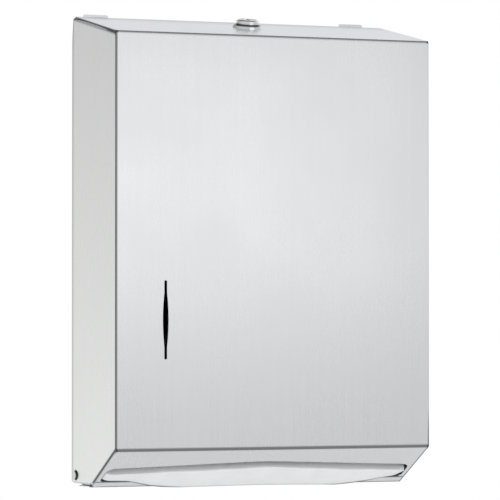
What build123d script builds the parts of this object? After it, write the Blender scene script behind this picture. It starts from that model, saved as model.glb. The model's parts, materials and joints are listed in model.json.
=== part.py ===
from build123d import *
import math
import os

# Surface-mounted folded paper towel dispenser with a cover that tilts forward on two pins.
# Millimetres. X runs across, Y = 0 is the wall plane with the front towards -Y, Z is up.
# Heights are counted from the cover's bottom and moved to the wall-screw centre on export.

# Outline of the cover
COVER_WIDTH = 273.0
COVER_DEPTH = 102.0
COVER_HEIGHT = 381.0
TOP_FALL = 19.0
TOP_SETBACK = 5.7
BEVEL_RUN = 55.6
BEVEL_RISE = 30.8
BOTTOM_SETBACK = 16.0

# Sheet metal
SHEET = 0.8
WRAP_BEND = 2.0
SIDE_BEND = 3.2
SIDE_CORNER = 3.9
SIDE_FLANGE = 10.0
SEAM_INSET = 0.2
LAP_GAP = 0.05
TOP_FLANGE = 9.0
BOTTOM_FLANGE = 8.0
FLANGE_END_GAP = 2.0
REAR_GAP = 0.3
FOOT_ROUND = 4.0
FOOT_REACH = 16.0
FOOT_RISE = 1.4
RELIEF_TOP = 3.2
RELIEF_HEIGHT = 18.0
RELIEF_ROUND = 70.0

# Level slot in the front, counted from the cover's left edge and bottom
LEVEL_FROM_LEFT = 42.0
LEVEL_BOTTOM = 102.6
LEVEL_LENGTH = 62.7
LEVEL_WIDE = 4.8
LEVEL_NARROW = 2.3

# Dispensing slot in the bevel, counted down the bevel
SLOT_APEX = 22.0
SLOT_END = 32.0
SLOT_LIP = 9.0
SLOT_MARGIN = 4.0
SLOT_APEX_ROUND = 200.0
SLOT_UPPER_ROUND = 8.0
SLOT_LOWER_ROUND = 4.0
HEM_WIDTH = 4.5
HEM_ROUND = 0.7
HEM_SIDE_GAP = 0.3

# Hinge
PIVOT_SETBACK = 10.0
PIVOT_HEIGHT = 8.4
PIVOT_WINDOW_RADIUS = 4.4
PIN_RADIUS = 3.0
PIN_RUNNING_GAP = 0.06
PIN_HEAD_RADIUS = 5.0
PIN_HEAD = 1.5
PIN_DOME_RADIUS = 3.8
PIN_DOME_SHOULDER = 0.2
PIN_PROUD = 1.4
PIN_DOME_RISE = 1.3
DOUBLER = 1.5
DOUBLER_RADIUS = 5.6
DOUBLER_REACH = 26.0
DOUBLER_RISE = 20.0
DOUBLER_DROP = 4.2
WASHER = 0.6
WASHER_RADIUS = 5.4
WASHER_GAP = 0.3
BRACKET = 1.5
BRACKET_BEND = 2.5
BRACKET_RADIUS = 5.8
BRACKET_DROP = 5.0
BRACKET_RISE = 16.0
BRACKET_FOOT = 20.0

# Back plate and wall screws
BACK = 1.2
BACK_SIDE_GAP = 0.9
BACK_BOTTOM = 2.6
BACK_CORNER_ROUND = 8.0
BACK_TOP_DROP = 4.0
BACK_FLANGE = 8.0
BACK_BEND = 2.0
BACK_FLANGE_LOW = 45.0
BACK_FLANGE_TOP_DROP = 40.0
TAB_WIDTH = 21.2
TAB_FROM_SIDE = 22.2
TAB_SHIFT = 2.0
TAB_RISE = 2.3
TAB_ROUND = 1.5
SCREW_SPACING_X = 203.2
SCREW_SPACING_Z = 203.2
SCREW_HOLE_RADIUS = 3.25
SCREW_LOWER_HEIGHT = 118.0

# Rivets
RIVET_RADIUS = 1.6
RIVET_HEAD_RADIUS = 3.0
RIVET_HEAD = 1.2
RIVET_GAP = 0.05
RIVET_TAIL_GAP = 0.1

# Tray and towels
TRAY = 1.0
TRAY_BEND = 2.0
TRAY_FLOOR = 34.0
TRAY_FRONT_GAP = 7.0
TRAY_BACK_GAP = 3.0
TRAY_SIDE_CLEARANCE = 4.5
TRAY_WALL = 26.0
TRAY_FLANGE = 20.0
TRAY_LEDGE = 20.0
TRAY_FRONT_RAIL = 13.0
TRAY_REAR_LEDGE = 34.0
TRAY_OPENING_ROUND = 8.0
TRAY_RIVET_SPREAD = 84.0
STACK_SIDE_GAP = 1.6
STACK_FRONT_GAP = 3.0
STACK_BACK_GAP = 14.5
STACK_HEIGHT = 60.0
STACK_ROUND = 4.0
REST_GAP = 0.2
TOWEL_THICK = 1.2
TOWEL_HANG_GAP = 0.4
TOWEL_SIDE_GAP = 6.5
TOWEL_ROOT_INSET = 8.0
TOWEL_RIDGE_INSET = 6.2
TOWEL_RIDGE_DROP = 3.9
TOWEL_RISE = 4.5
TOWEL_END_RISE = 2.0
TOWEL_LIP_GAP = 2.2
TOWEL_END_GAP = 4.0
TOWEL_DROOP = 1.6

# Lock
LOCK_SETBACK = 44.0
LOCK_HEAD_RADIUS = 12.4
LOCK_HEAD = 2.3
LOCK_HEAD_BEVEL = 0.9
LOCK_BOSS_RADIUS = 9.6
LOCK_BOSS = 6.6
LOCK_BOSS_ROUND = 2.0
LOCK_BARREL_RADIUS = 9.0
LOCK_BARREL_FLAT = 7.8
LOCK_BARREL = 15.0
LOCK_HOLE_GAP = 0.15
LOCK_WASHER = 0.8
LOCK_WASHER_RADIUS = 12.6
LOCK_NUT = 4.5
LOCK_NUT_RADIUS = 13.6
LOCK_NUT_GAP = 0.05
PLUG_HEAD_RADIUS = 7.0
PLUG_HEAD = 2.0
PLUG_RADIUS = 5.2
PLUG_RUNNING_GAP = 0.08
PLUG_RECESS = 0.3
PLUG_END_GAP = 0.5
PLUG_SQUARE = 7.0
KEYWAY_WIDTH = 1.8
KEYWAY_HEIGHT = 7.6
KEYWAY_DEPTH = 17.0
WAFER = 0.9
WAFER_WIDTH = 4.6
WAFER_LOW = -3.4
WAFER_HIGH = 4.5
WAFER_PITCH = 2.4
WAFER_FIRST = 1.0
WAFER_COUNT = 5
WAFER_GAP = 0.1
WAFER_SPRING_RADIUS = 0.45
CAM = 2.0
CAM_WIDTH = 12.0
CAM_REACH = 28.0
CAM_TAIL = 7.0
CAM_FIT = 0.05
CAM_SCREW_RADIUS = 2.0
CAM_SCREW_HEAD_RADIUS = 4.5
CAM_SCREW_HEAD = 2.2
CAM_SCREW_LENGTH = 4.0
STRIKE = 1.5
STRIKE_BEND = 2.5
STRIKE_WIDTH = 20.0
STRIKE_SIDE_CLEARANCE = 8.0
STRIKE_CAM_CLEARANCE = 1.0
STRIKE_LIP_OVER = 5.0
STRIKE_SHELF_UNDER = 10.0
STRIKE_FLANGE = 20.0
STRIKE_RIVET_SPREAD = 5.0

# Places worked out from the sizes above, as (y, z) in the side view
HALF_WIDTH = COVER_WIDTH / 2
SIDE_INNER = HALF_WIDTH - SHEET
WRAP_HALF = HALF_WIDTH - SEAM_INSET
TOP_REAR = (-TOP_SETBACK, COVER_HEIGHT)
TOP_FRONT = (-COVER_DEPTH, COVER_HEIGHT - TOP_FALL)
FRONT_LOW = (-COVER_DEPTH, BEVEL_RISE)
BOTTOM_FRONT = (-COVER_DEPTH + BEVEL_RUN, 0.0)
BOTTOM_REAR = (-BOTTOM_SETBACK, 0.0)
COVER_CHAIN = [TOP_REAR, TOP_FRONT, FRONT_LOW, BOTTOM_FRONT, BOTTOM_REAR]
BEVEL_LENGTH = math.hypot(BEVEL_RUN, BEVEL_RISE)
SLOT_LOW = BEVEL_LENGTH - SLOT_LIP
SLOT_HALF = HALF_WIDTH - SLOT_MARGIN
PIVOT_Y = -PIVOT_SETBACK
EAR_OUTER = SIDE_INNER - DOUBLER - WASHER - 2 * WASHER_GAP
EAR_INNER = EAR_OUTER - BRACKET
MOUNT_HEIGHT = SCREW_LOWER_HEIGHT + SCREW_SPACING_Z / 2
TOP_TILT = math.atan2(TOP_FALL, COVER_DEPTH - TOP_SETBACK)
LOCK_Y = -LOCK_SETBACK
LOCK_Z = COVER_HEIGHT - math.tan(TOP_TILT) * (LOCK_SETBACK - TOP_SETBACK)
CAM_TOP = -(LOCK_BARREL + PLUG_END_GAP)
CAM_MIDDLE = CAM_TOP - CAM / 2
CAM_Y = LOCK_Y - CAM_MIDDLE * math.sin(TOP_TILT)
CAM_Z = LOCK_Z + CAM_MIDDLE * math.cos(TOP_TILT)
TRAY_HALF = SIDE_INNER - TRAY_SIDE_CLEARANCE
TRAY_FRONT = -COVER_DEPTH + SHEET + TRAY_FRONT_GAP
STACK_HALF = TRAY_HALF - TRAY - STACK_SIDE_GAP
STACK_FRONT = -COVER_DEPTH + SHEET + STACK_FRONT_GAP
STACK_REAR = -BACK - STACK_BACK_GAP
STACK_BASE = TRAY_FLOOR + REST_GAP

BEVEL_PLANE = Plane(
    origin=(0, FRONT_LOW[0], FRONT_LOW[1]),
    x_dir=(1, 0, 0),
    z_dir=(0, -BEVEL_RISE / BEVEL_LENGTH, -BEVEL_RUN / BEVEL_LENGTH),
)
LOCK_PLANE = Plane(
    origin=(0, LOCK_Y, LOCK_Z),
    x_dir=(1, 0, 0),
    z_dir=(0, -math.sin(TOP_TILT), math.cos(TOP_TILT)),
)


def moved_chain(points, distance):
    """Move an open chain of points to its left by a distance, keeping its corners sharp."""
    directions = []
    for start, end in zip(points, points[1:]):
        length = math.hypot(end[0] - start[0], end[1] - start[1])
        directions.append(((end[0] - start[0]) / length, (end[1] - start[1]) / length))
    before = [directions[0]] + directions
    after = directions + [directions[-1]]
    moved = []
    for point, first, second in zip(points, before, after):
        normal_a = (-first[1], first[0])
        normal_b = (-second[1], second[0])
        scale_by = distance / (1 + normal_a[0] * normal_b[0] + normal_a[1] * normal_b[1])
        step_a = (normal_a[0] + normal_b[0]) * scale_by
        step_b = (normal_a[1] + normal_b[1]) * scale_by
        moved.append((point[0] + step_a, point[1] + step_b))
    return moved


def strip_face(points, thickness, bend):
    """Section of a bent strip whose outer side follows the points, with its metal to their left."""
    inner = moved_chain(points, thickness)
    corners = len(points) - 2
    radii = [0] + [bend] * corners + [0, 0] + [bend - thickness] * corners + [0]
    return make_face(FilletPolyline(*points, *inner[::-1], radius=radii, close=True))


def side_view(face, start, end):
    """Extrude a face drawn in the side view from one X to another."""
    return extrude(Plane.YZ.offset(start) * face, amount=end - start)


def block(x_range, y_range, z_range):
    """Box between two values on each axis."""
    size = [high - low for low, high in (x_range, y_range, z_range)]
    centre = [(high + low) / 2 for low, high in (x_range, y_range, z_range)]
    return Pos(*centre) * Box(*size)


def rod(radius, start, end, y, z):
    """Round bar along X."""
    circle = Pos(y, z) * Circle(radius)
    return side_view(circle, start, end)


def cross_rod(radius, start, end, x, z):
    """Round bar along Y, from the larger Y back to the smaller."""
    plane = Plane(origin=(x, start, z), x_dir=(1, 0, 0), z_dir=(0, -1, 0))
    return extrude(plane * Circle(radius), amount=start - end)


def rivet(x, z, front):
    """Flat rivet through to the wall side, with its head in front of a face at a given Y."""
    shank = cross_rod(RIVET_RADIUS, -RIVET_TAIL_GAP, front, x, z)
    head = cross_rod(RIVET_HEAD_RADIUS, front, front - RIVET_HEAD, x, z)
    rim = head.edges().filter_by(GeomType.CIRCLE).sort_by(Axis.Y)[0]
    return shank + fillet(rim, RIVET_HEAD * 0.6)


def rivet_hole(x, z, front):
    """Hole for a rivet, from in front of a face at a given Y through to the wall."""
    return cross_rod(RIVET_RADIUS + RIVET_GAP, 1.0, front - 1.0, x, z)


def on_lock(shape):
    """Place a shape drawn about the lock's axis, with its Z out of the sloped top."""
    return LOCK_PLANE * shape


def lock_disc(radius, low, high):
    """Round disc on the lock's axis between two levels."""
    return Pos(0, 0, (low + high) / 2) * Cylinder(radius, high - low)


def slot_outline():
    """Dispensing slot drawn on the bevel, with a shallow peak in its upper edge."""
    points = [
        (-SLOT_HALF, -SLOT_LOW),
        (SLOT_HALF, -SLOT_LOW),
        (SLOT_HALF, -SLOT_END),
        (0, -SLOT_APEX),
        (-SLOT_HALF, -SLOT_END),
    ]
    radii = [SLOT_LOWER_ROUND, SLOT_LOWER_ROUND, SLOT_UPPER_ROUND, SLOT_APEX_ROUND, SLOT_UPPER_ROUND]
    return make_face(FilletPolyline(*points, radius=radii, close=True))


def is_slot_edge(edge):
    """Tell whether an edge lies on the rim of the dispensing slot."""
    for vertex in edge.vertices():
        spot = BEVEL_PLANE.to_local_coords(Vector(vertex))
        if abs(spot.X) > SLOT_HALF + 0.01:
            return False
        if spot.Y > -SLOT_APEX + 0.01 or spot.Y < -SLOT_LOW - 0.01:
            return False
        if spot.Z > 0.01 or spot.Z < -2 * SHEET - 0.01:
            return False
        if min(abs(spot.Z), abs(spot.Z + 2 * SHEET)) > 0.01:
            return False
    return True


def front_wrap():
    """Top, front, bevel and bottom of the cover in one bent sheet."""
    top_flange_end = (TOP_REAR[0], COVER_HEIGHT - TOP_FLANGE)
    bottom_flange_end = (BOTTOM_REAR[0], BOTTOM_FLANGE)
    chain = [top_flange_end] + COVER_CHAIN + [bottom_flange_end]
    wrap = side_view(strip_face(chain, SHEET, WRAP_BEND), -WRAP_HALF, WRAP_HALF)

    # The two rear flanges stop short of the side panels' flanges.
    flange_half = HALF_WIDTH - SIDE_FLANGE - FLANGE_END_GAP
    top_y = (TOP_REAR[0] - WRAP_BEND, TOP_REAR[0] + 1)
    bottom_y = (BOTTOM_REAR[0] - WRAP_BEND, BOTTOM_REAR[0] + 1)
    for side in (-1, 1):
        x_range = sorted((side * flange_half, side * (HALF_WIDTH + 1)))
        wrap -= block(x_range, top_y, (COVER_HEIGHT - TOP_FLANGE - 1, COVER_HEIGHT + 1))
        wrap -= block(x_range, bottom_y, (-1, BOTTOM_FLANGE + 1))

    # Dispensing slot with its edge hemmed back on the inside.
    opening = slot_outline()
    rim = offset(opening, HEM_WIDTH)
    hem = extrude(BEVEL_PLANE.offset(-2 * SHEET) * rim, amount=SHEET * 1.5)
    hem_half = HALF_WIDTH - SIDE_BEND - HEM_SIDE_GAP
    hem &= block((-hem_half, hem_half), (-COVER_DEPTH, 0), (-1, BEVEL_RISE + 5))
    wrap += hem
    wrap -= extrude(BEVEL_PLANE * opening, amount=4 * SHEET, both=True)
    wrap = fillet([edge for edge in wrap.edges() if is_slot_edge(edge)], HEM_ROUND)

    # Level slot: a narrow slot that swells to a lens at its middle.
    reach = (LEVEL_LENGTH - LEVEL_NARROW) / 2
    right_arc = ThreePointArc((0, -reach), (LEVEL_WIDE / 2, 0), (0, reach))
    left_arc = ThreePointArc((0, reach), (-LEVEL_WIDE / 2, 0), (0, -reach))
    level = Rot(0, 0, 90) * SlotOverall(LEVEL_LENGTH, LEVEL_NARROW) + make_face(right_arc + left_arc)
    level_middle = LEVEL_BOTTOM + LEVEL_LENGTH / 2
    level_plane = Plane(
        origin=(-HALF_WIDTH + LEVEL_FROM_LEFT, -COVER_DEPTH, level_middle),
        x_dir=(1, 0, 0),
        z_dir=(0, -1, 0),
    )
    wrap -= extrude(level_plane * level, amount=4 * SHEET, both=True)

    # Hole for the lock, with two flats that stop it turning.
    hole = lock_disc(LOCK_BARREL_RADIUS + LOCK_HOLE_GAP, -4, 4)
    flat = LOCK_BARREL_FLAT + LOCK_HOLE_GAP
    hole &= block((-20, 20), (-flat, flat), (-5, 5))
    return wrap - on_lock(hole)


def side_dish(inset, corner, bend, start, end):
    """Solid block of the side panel's outline with a rounded outer edge, open-ended at the rear."""
    chain = moved_chain(COVER_CHAIN, inset)
    slope = (chain[0][1] - chain[1][1]) / (chain[0][0] - chain[1][0])
    beyond = 20.0
    points = [
        (beyond, chain[1][1] + slope * (beyond - chain[1][0])),
        chain[1],
        chain[2],
        chain[3],
        (beyond, chain[3][1]),
    ]
    outline = make_face(FilletPolyline(*points, radius=[0, corner, corner, corner, 0], close=True))
    dish = side_view(outline, start, end)
    rim = [edge for edge in dish.edges() if edge.center().X > end - 0.01 and edge.center().Y < beyond - 0.01]
    return fillet(rim, bend)


def side_panel():
    """Right side panel with flanges that lie under the wrap, cut back at the slot and the hinge."""
    lap = SHEET + LAP_GAP
    outer = side_dish(lap, SIDE_CORNER, SIDE_BEND, HALF_WIDTH - SIDE_FLANGE, HALF_WIDTH)
    inner = side_dish(
        lap + SHEET,
        SIDE_CORNER - SHEET,
        SIDE_BEND - SHEET,
        HALF_WIDTH - SIDE_FLANGE - 1,
        SIDE_INNER,
    )
    panel = outer - inner

    # Rear edge: swept up and rounded at the foot, leaning forward near the top.
    keep_points = [
        (-COVER_DEPTH - 10, lap),
        (-FOOT_REACH, lap),
        (-REAR_GAP, FOOT_RISE),
        (-REAR_GAP, COVER_HEIGHT - RELIEF_HEIGHT),
        (-RELIEF_TOP, COVER_HEIGHT),
        (-RELIEF_TOP, COVER_HEIGHT + 10),
        (-COVER_DEPTH - 10, COVER_HEIGHT + 10),
    ]
    keep_radii = [0, FOOT_REACH, FOOT_ROUND, RELIEF_ROUND, 0, 0, 0]
    keep = make_face(FilletPolyline(*keep_points, radius=keep_radii, close=True))
    panel &= side_view(keep, HALF_WIDTH - 2 * SIDE_FLANGE, HALF_WIDTH + 1)

    # No flange beside the slot, nor below the hinge.
    flange_start = HALF_WIDTH - SIDE_FLANGE - 1
    slot_top = SLOT_APEX - HEM_WIDTH + 1
    length = BEVEL_LENGTH + WRAP_BEND + 2 - slot_top
    gap_width = HALF_WIDTH - SIDE_BEND - flange_start
    gap_box = Box(gap_width, length, 8 * SHEET)
    gap_place = Pos(flange_start + gap_width / 2, -slot_top - length / 2, -3 * SHEET)
    panel -= BEVEL_PLANE * gap_place * gap_box
    panel -= block((flange_start, SIDE_INNER), (BOTTOM_REAR[0] - 2 * WRAP_BEND, 1), (-1, 2 * SIDE_BEND))
    return panel - rod(PIVOT_WINDOW_RADIUS, SIDE_INNER - 1, HALF_WIDTH + 1, PIVOT_Y, PIVOT_HEIGHT)


def hinge_doubler():
    """Bearing plate welded inside the right side panel, round about the pivot at its lower rear."""
    disc = Pos(PIVOT_Y, PIVOT_HEIGHT) * Circle(DOUBLER_RADIUS)
    width = DOUBLER_REACH
    height = DOUBLER_RISE + DOUBLER_DROP
    centre_z = PIVOT_HEIGHT + (DOUBLER_RISE - DOUBLER_DROP) / 2
    arm = Pos(PIVOT_Y - width / 2, centre_z) * RectangleRounded(width, height, 3)
    lower = Pos(PIVOT_Y - width / 4, PIVOT_HEIGHT) * Rectangle(width / 2, 2 * DOUBLER_DROP)
    plate = side_view(disc + arm + lower, SIDE_INNER - DOUBLER, SIDE_INNER)
    bore = PIN_RADIUS + PIN_RUNNING_GAP
    return plate - rod(bore, SIDE_INNER - DOUBLER - 1, SIDE_INNER + 1, PIVOT_Y, PIVOT_HEIGHT)


def hinge_washer():
    """Thin washer between the right hinge bracket and the doubler."""
    start = EAR_OUTER + WASHER_GAP
    ring = rod(WASHER_RADIUS, start, start + WASHER, PIVOT_Y, PIVOT_HEIGHT)
    bore = PIN_RADIUS + PIN_RUNNING_GAP
    return ring - rod(bore, start - 1, start + WASHER + 1, PIVOT_Y, PIVOT_HEIGHT)


def hinge_pin():
    """Right hinge pin: head inside the bracket, bearing shank, domed end in the panel's window."""
    dome_start = SIDE_INNER + PIN_DOME_SHOULDER
    dome_top = HALF_WIDTH + PIN_PROUD
    head = rod(PIN_HEAD_RADIUS, EAR_INNER - PIN_HEAD, EAR_INNER, PIVOT_Y, PIVOT_HEIGHT)
    shank = rod(PIN_RADIUS, EAR_INNER, dome_start, PIVOT_Y, PIVOT_HEIGHT)
    dome = rod(PIN_DOME_RADIUS, dome_start, dome_top, PIVOT_Y, PIVOT_HEIGHT)
    rim = dome.edges().filter_by(GeomType.CIRCLE).sort_by(Axis.X)[-1]
    return head + shank + fillet(rim, PIN_DOME_RISE)


def bracket_rivet_spots():
    """Places of the two rivets in the right hinge bracket's foot, as (x, z)."""
    x = EAR_INNER - BRACKET_FOOT / 2
    middle = PIVOT_HEIGHT + (BRACKET_RISE - BRACKET_DROP) / 2
    spread = (BRACKET_RISE + BRACKET_DROP) / 4
    return [(x, middle - spread), (x, middle + spread)]


def hinge_bracket():
    """Right hinge bracket: a foot on the back plate and an ear that holds the pin."""
    front = PIVOT_Y - BRACKET_RADIUS
    chain = [(EAR_OUTER - BRACKET_FOOT, -BACK), (EAR_OUTER, -BACK), (EAR_OUTER, front - 1)]
    section = strip_face([(x, y) for x, y in reversed(chain)], BRACKET, BRACKET_BEND)
    low = PIVOT_HEIGHT - BRACKET_DROP
    high = PIVOT_HEIGHT + BRACKET_RISE
    tall = max(BRACKET_RADIUS, BRACKET_DROP)
    base = PIVOT_HEIGHT - tall
    bracket = extrude(Pos(0, 0, base) * section, amount=high - base)

    # Ear rounded about the pivot, foot kept at its full height.
    disc = Pos(PIVOT_Y, PIVOT_HEIGHT) * Circle(BRACKET_RADIUS)
    middle = (low + high) / 2
    arm = Pos(PIVOT_Y / 2, middle) * Rectangle(PIVOT_SETBACK, high - low)
    keep = side_view(disc + arm, EAR_OUTER - BRACKET_FOOT - 1, EAR_OUTER + 1)
    bracket &= keep
    bracket -= rod(PIN_RADIUS, EAR_INNER - 1, EAR_OUTER + 1, PIVOT_Y, PIVOT_HEIGHT)
    for x, z in bracket_rivet_spots():
        bracket -= rivet_hole(x, z, -BACK - BRACKET)
    return bracket


def tray_rivet_spots():
    """Places of the four rivets in the tray's rear flange, as (x, z)."""
    z = TRAY_FLOOR + TRAY_FLANGE * 0.6
    inner = TRAY_RIVET_SPREAD / 3
    return [(x, z) for x in (-TRAY_RIVET_SPREAD, -inner, inner, TRAY_RIVET_SPREAD)]


def strike_middle():
    """X of the strike bracket's middle, to the left of the unlocked cam."""
    return -(CAM_WIDTH / 2 + STRIKE_SIDE_CLEARANCE + STRIKE_WIDTH / 2)


def strike_shelf():
    """Height of the underside of the strike bracket's shelf."""
    return CAM_Z - STRIKE_SHELF_UNDER


def strike_rivet_spots():
    """Places of the two rivets in the strike bracket's flange, as (x, z)."""
    z = strike_shelf() - STRIKE_FLANGE * 0.55
    middle = strike_middle()
    return [(middle - STRIKE_RIVET_SPREAD, z), (middle + STRIKE_RIVET_SPREAD, z)]


def back_plate():
    """Back plate on the wall, with side flanges, two tabs at the top and the wall-screw holes."""
    half = SIDE_INNER - BACK_SIDE_GAP
    top = COVER_HEIGHT - BACK_TOP_DROP
    plate = block((-half, half), (-BACK, 0), (BACK_BOTTOM, top))
    feet = plate.edges().filter_by(Axis.Y).group_by(Axis.Z)[0]
    plate = fillet(feet, BACK_CORNER_ROUND)

    # Flanges bent forward along both sides, clear of the hinge and of the sloped top.
    flange_top = COVER_HEIGHT - BACK_FLANGE_TOP_DROP
    chain = [(half, -BACK_FLANGE), (half, 0), (half - 4 * BACK_BEND, 0)]
    section = strip_face(chain, BACK, BACK_BEND)
    flange = extrude(Pos(0, 0, BACK_FLANGE_LOW) * section, amount=flange_top - BACK_FLANGE_LOW)
    corner_zone = block((half - BACK_BEND, half + 1), (-BACK - 1, 1), (BACK_FLANGE_LOW, flange_top))
    right = plate - corner_zone + flange
    plate = right - mirror(corner_zone, Plane.YZ) + mirror(flange, Plane.YZ)

    # Two tabs stand up behind the rear edge of the sloped top.
    for side in (-1, 1):
        x = side * (HALF_WIDTH - TAB_FROM_SIDE) - TAB_SHIFT
        tab_height = BACK_TOP_DROP + TAB_RISE + 2 * TAB_ROUND
        centre_z = COVER_HEIGHT + TAB_RISE - tab_height / 2
        tab_face = RectangleRounded(TAB_WIDTH, tab_height, TAB_ROUND)
        tab_plane = Plane(origin=(x, 0, centre_z), x_dir=(1, 0, 0), z_dir=(0, -1, 0))
        plate += extrude(tab_plane * tab_face, amount=BACK)

    for x in (-SCREW_SPACING_X / 2, SCREW_SPACING_X / 2):
        for z in (SCREW_LOWER_HEIGHT, SCREW_LOWER_HEIGHT + SCREW_SPACING_Z):
            plate -= cross_rod(SCREW_HOLE_RADIUS, 1, -BACK - 1, x, z)
    spots = tray_rivet_spots() + strike_rivet_spots()
    for x, z in bracket_rivet_spots():
        spots += [(x, z), (-x, z)]
    for x, z in spots:
        plate -= rivet_hole(x, z, -BACK)
    return plate


def strike_bracket():
    """Strike on the back plate: a shelf under the cam with an upturned lip in front of it."""
    cam_front = CAM_Y - CAM_WIDTH / 2 * math.cos(TOP_TILT)
    lip_front = cam_front - STRIKE_CAM_CLEARANCE - STRIKE
    shelf = strike_shelf()
    lip_top = CAM_Z + STRIKE_LIP_OVER
    half = STRIKE_WIDTH / 2
    middle = strike_middle()
    lip_chain = [(lip_front, lip_top), (lip_front, shelf), (-BACK - 2 * STRIKE_BEND, shelf)]
    lip = side_view(strip_face(lip_chain, STRIKE, STRIKE_BEND), middle - half, middle + half)
    top = shelf + STRIKE
    foot_chain = [(-BACK - 2 * STRIKE_BEND, top), (-BACK, top), (-BACK, shelf - STRIKE_FLANGE)]
    foot_face = strip_face(list(reversed(foot_chain)), STRIKE, STRIKE_BEND)
    foot = side_view(foot_face, middle - half, middle + half)
    strike = lip + foot
    for x, z in strike_rivet_spots():
        strike -= rivet_hole(x, z, -BACK - STRIKE)
    return strike


def towel_tray():
    """Tray on the back plate: floor with a large opening, end walls and a rear flange."""
    rear = -BACK - TRAY_BACK_GAP
    floor = TRAY_FLOOR - TRAY
    wall_top = TRAY_FLOOR + TRAY_WALL
    chain = [(-TRAY_HALF, wall_top), (-TRAY_HALF, floor), (TRAY_HALF, floor), (TRAY_HALF, wall_top)]
    section = strip_face(chain, TRAY, TRAY_BEND)
    plane = Plane(origin=(0, rear, 0), x_dir=(1, 0, 0), z_dir=(0, -1, 0))
    tray = extrude(plane * section, amount=rear - TRAY_FRONT)
    for side in (-1, 1):
        x_range = sorted((side * (TRAY_HALF - TRAY_BEND), side * (TRAY_HALF + 1)))
        cut = block(x_range, (TRAY_FRONT - 1, TRAY_FRONT + 2 * TRAY_FRONT_RAIL), (floor, wall_top + 1))
        lean = Pos(0, TRAY_FRONT + TRAY_FRONT_RAIL, wall_top) * Rot(45, 0, 0) * Box(4 * TRAY_HALF, 14, 14)
        tray -= cut & lean

    # Rear flange riveted to the back plate.
    flange_half = TRAY_HALF - 4 * TRAY_BEND
    flange_chain = [(rear - 2 * TRAY_BEND, floor), (-BACK, floor), (-BACK, TRAY_FLOOR + TRAY_FLANGE)]
    tray += side_view(strip_face(flange_chain, TRAY, TRAY_BEND), -flange_half, flange_half)
    for x, z in tray_rivet_spots():
        tray -= rivet_hole(x, z, -BACK - TRAY)

    # Opening that the lowest towel is drawn through.
    opening_front = TRAY_FRONT + TRAY_FRONT_RAIL
    opening_rear = rear - TRAY_REAR_LEDGE
    opening_half = TRAY_HALF - TRAY_LEDGE
    face = RectangleRounded(2 * opening_half, opening_rear - opening_front, TRAY_OPENING_ROUND)
    place = Pos(0, (opening_front + opening_rear) / 2, floor - 1)
    return tray - extrude(place * face, amount=TRAY + 2)


def towel_stack():
    """Stack of folded towels on the tray, rounded along its folded edges."""
    y_range = (STACK_FRONT, STACK_REAR)
    stack = block((-STACK_HALF, STACK_HALF), y_range, (STACK_BASE, STACK_BASE + STACK_HEIGHT))
    return fillet(stack.edges().filter_by(Axis.X), STACK_ROUND)


def towel_section(x, low, lip_gap):
    """Section of the hanging towel at one X: down, forward to a ridge, then back over the lip."""
    share = abs(x) / SLOT_HALF
    edge = SLOT_APEX + (SLOT_END - SLOT_APEX) * share
    edge_y = FRONT_LOW[0] + edge * BEVEL_RUN / BEVEL_LENGTH
    edge_z = FRONT_LOW[1] - edge * BEVEL_RISE / BEVEL_LENGTH
    lip_y = FRONT_LOW[0] + SLOT_LOW * BEVEL_RUN / BEVEL_LENGTH
    root = lip_y - TOWEL_ROOT_INSET
    ridge = (edge_y + TOWEL_RIDGE_INSET, edge_z - TOWEL_RIDGE_DROP)
    rear = lip_y - lip_gap - TOWEL_THICK
    top = TRAY_FLOOR - TRAY - TOWEL_HANG_GAP
    points = [(root, top), (root, ridge[1] + TOWEL_RISE), ridge, (rear, low)]
    back = moved_chain(points, TOWEL_THICK)
    loop = Polyline(*[(x, y, z) for y, z in points + back[::-1]], close=True)
    return Face(Wire(loop))


def lead_towel():
    """Lowest towel, hanging through the tray and the slot, drooping over the lip in the middle."""
    half = SLOT_HALF - TOWEL_SIDE_GAP
    lip_z = FRONT_LOW[1] - SLOT_LOW * BEVEL_RISE / BEVEL_LENGTH
    sections = []
    for share in (-1.0, -0.86, -0.7, 0.0, 0.64, 0.84, 1.0):
        spread = abs(share)
        droop = 1.0 if spread < 0.75 else 0.55 if spread < 0.9 else 0.0
        low = (lip_z + TOWEL_END_RISE) * (1 - droop) - TOWEL_DROOP * droop
        lip_gap = TOWEL_LIP_GAP + TOWEL_END_GAP * (1 - droop)
        sections.append(towel_section(share * half, low, lip_gap))
    return loft(sections, ruled=True)


def lock_body():
    """Lock housing: chamfered head, raised boss and a flatted barrel with a bore for the plug."""
    head = lock_disc(LOCK_HEAD_RADIUS, 0, LOCK_HEAD)
    head = chamfer(head.edges().filter_by(GeomType.CIRCLE).sort_by(Axis.Z)[-1], LOCK_HEAD_BEVEL)
    boss = lock_disc(LOCK_BOSS_RADIUS, LOCK_HEAD - 1, LOCK_BOSS)
    boss = fillet(boss.edges().filter_by(GeomType.CIRCLE).sort_by(Axis.Z)[-1], LOCK_BOSS_ROUND)
    barrel = lock_disc(LOCK_BARREL_RADIUS, -LOCK_BARREL, 0.5)
    barrel &= block((-20, 20), (-LOCK_BARREL_FLAT, LOCK_BARREL_FLAT), (-LOCK_BARREL - 1, 1))
    body = head + boss + barrel
    seat = LOCK_BOSS - PLUG_RECESS - PLUG_HEAD - PLUG_RUNNING_GAP
    body -= lock_disc(PLUG_HEAD_RADIUS + PLUG_RUNNING_GAP, seat, LOCK_BOSS + 1)
    body -= lock_disc(PLUG_RADIUS + PLUG_RUNNING_GAP, -LOCK_BARREL - 1, LOCK_BOSS)
    return on_lock(body)


def lock_washer():
    """Washer under the sloped top."""
    top = -SHEET - LAP_GAP
    ring = lock_disc(LOCK_WASHER_RADIUS, top - LOCK_WASHER, top)
    return on_lock(ring - lock_disc(LOCK_BARREL_RADIUS + LOCK_HOLE_GAP, -10, 1))


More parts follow.
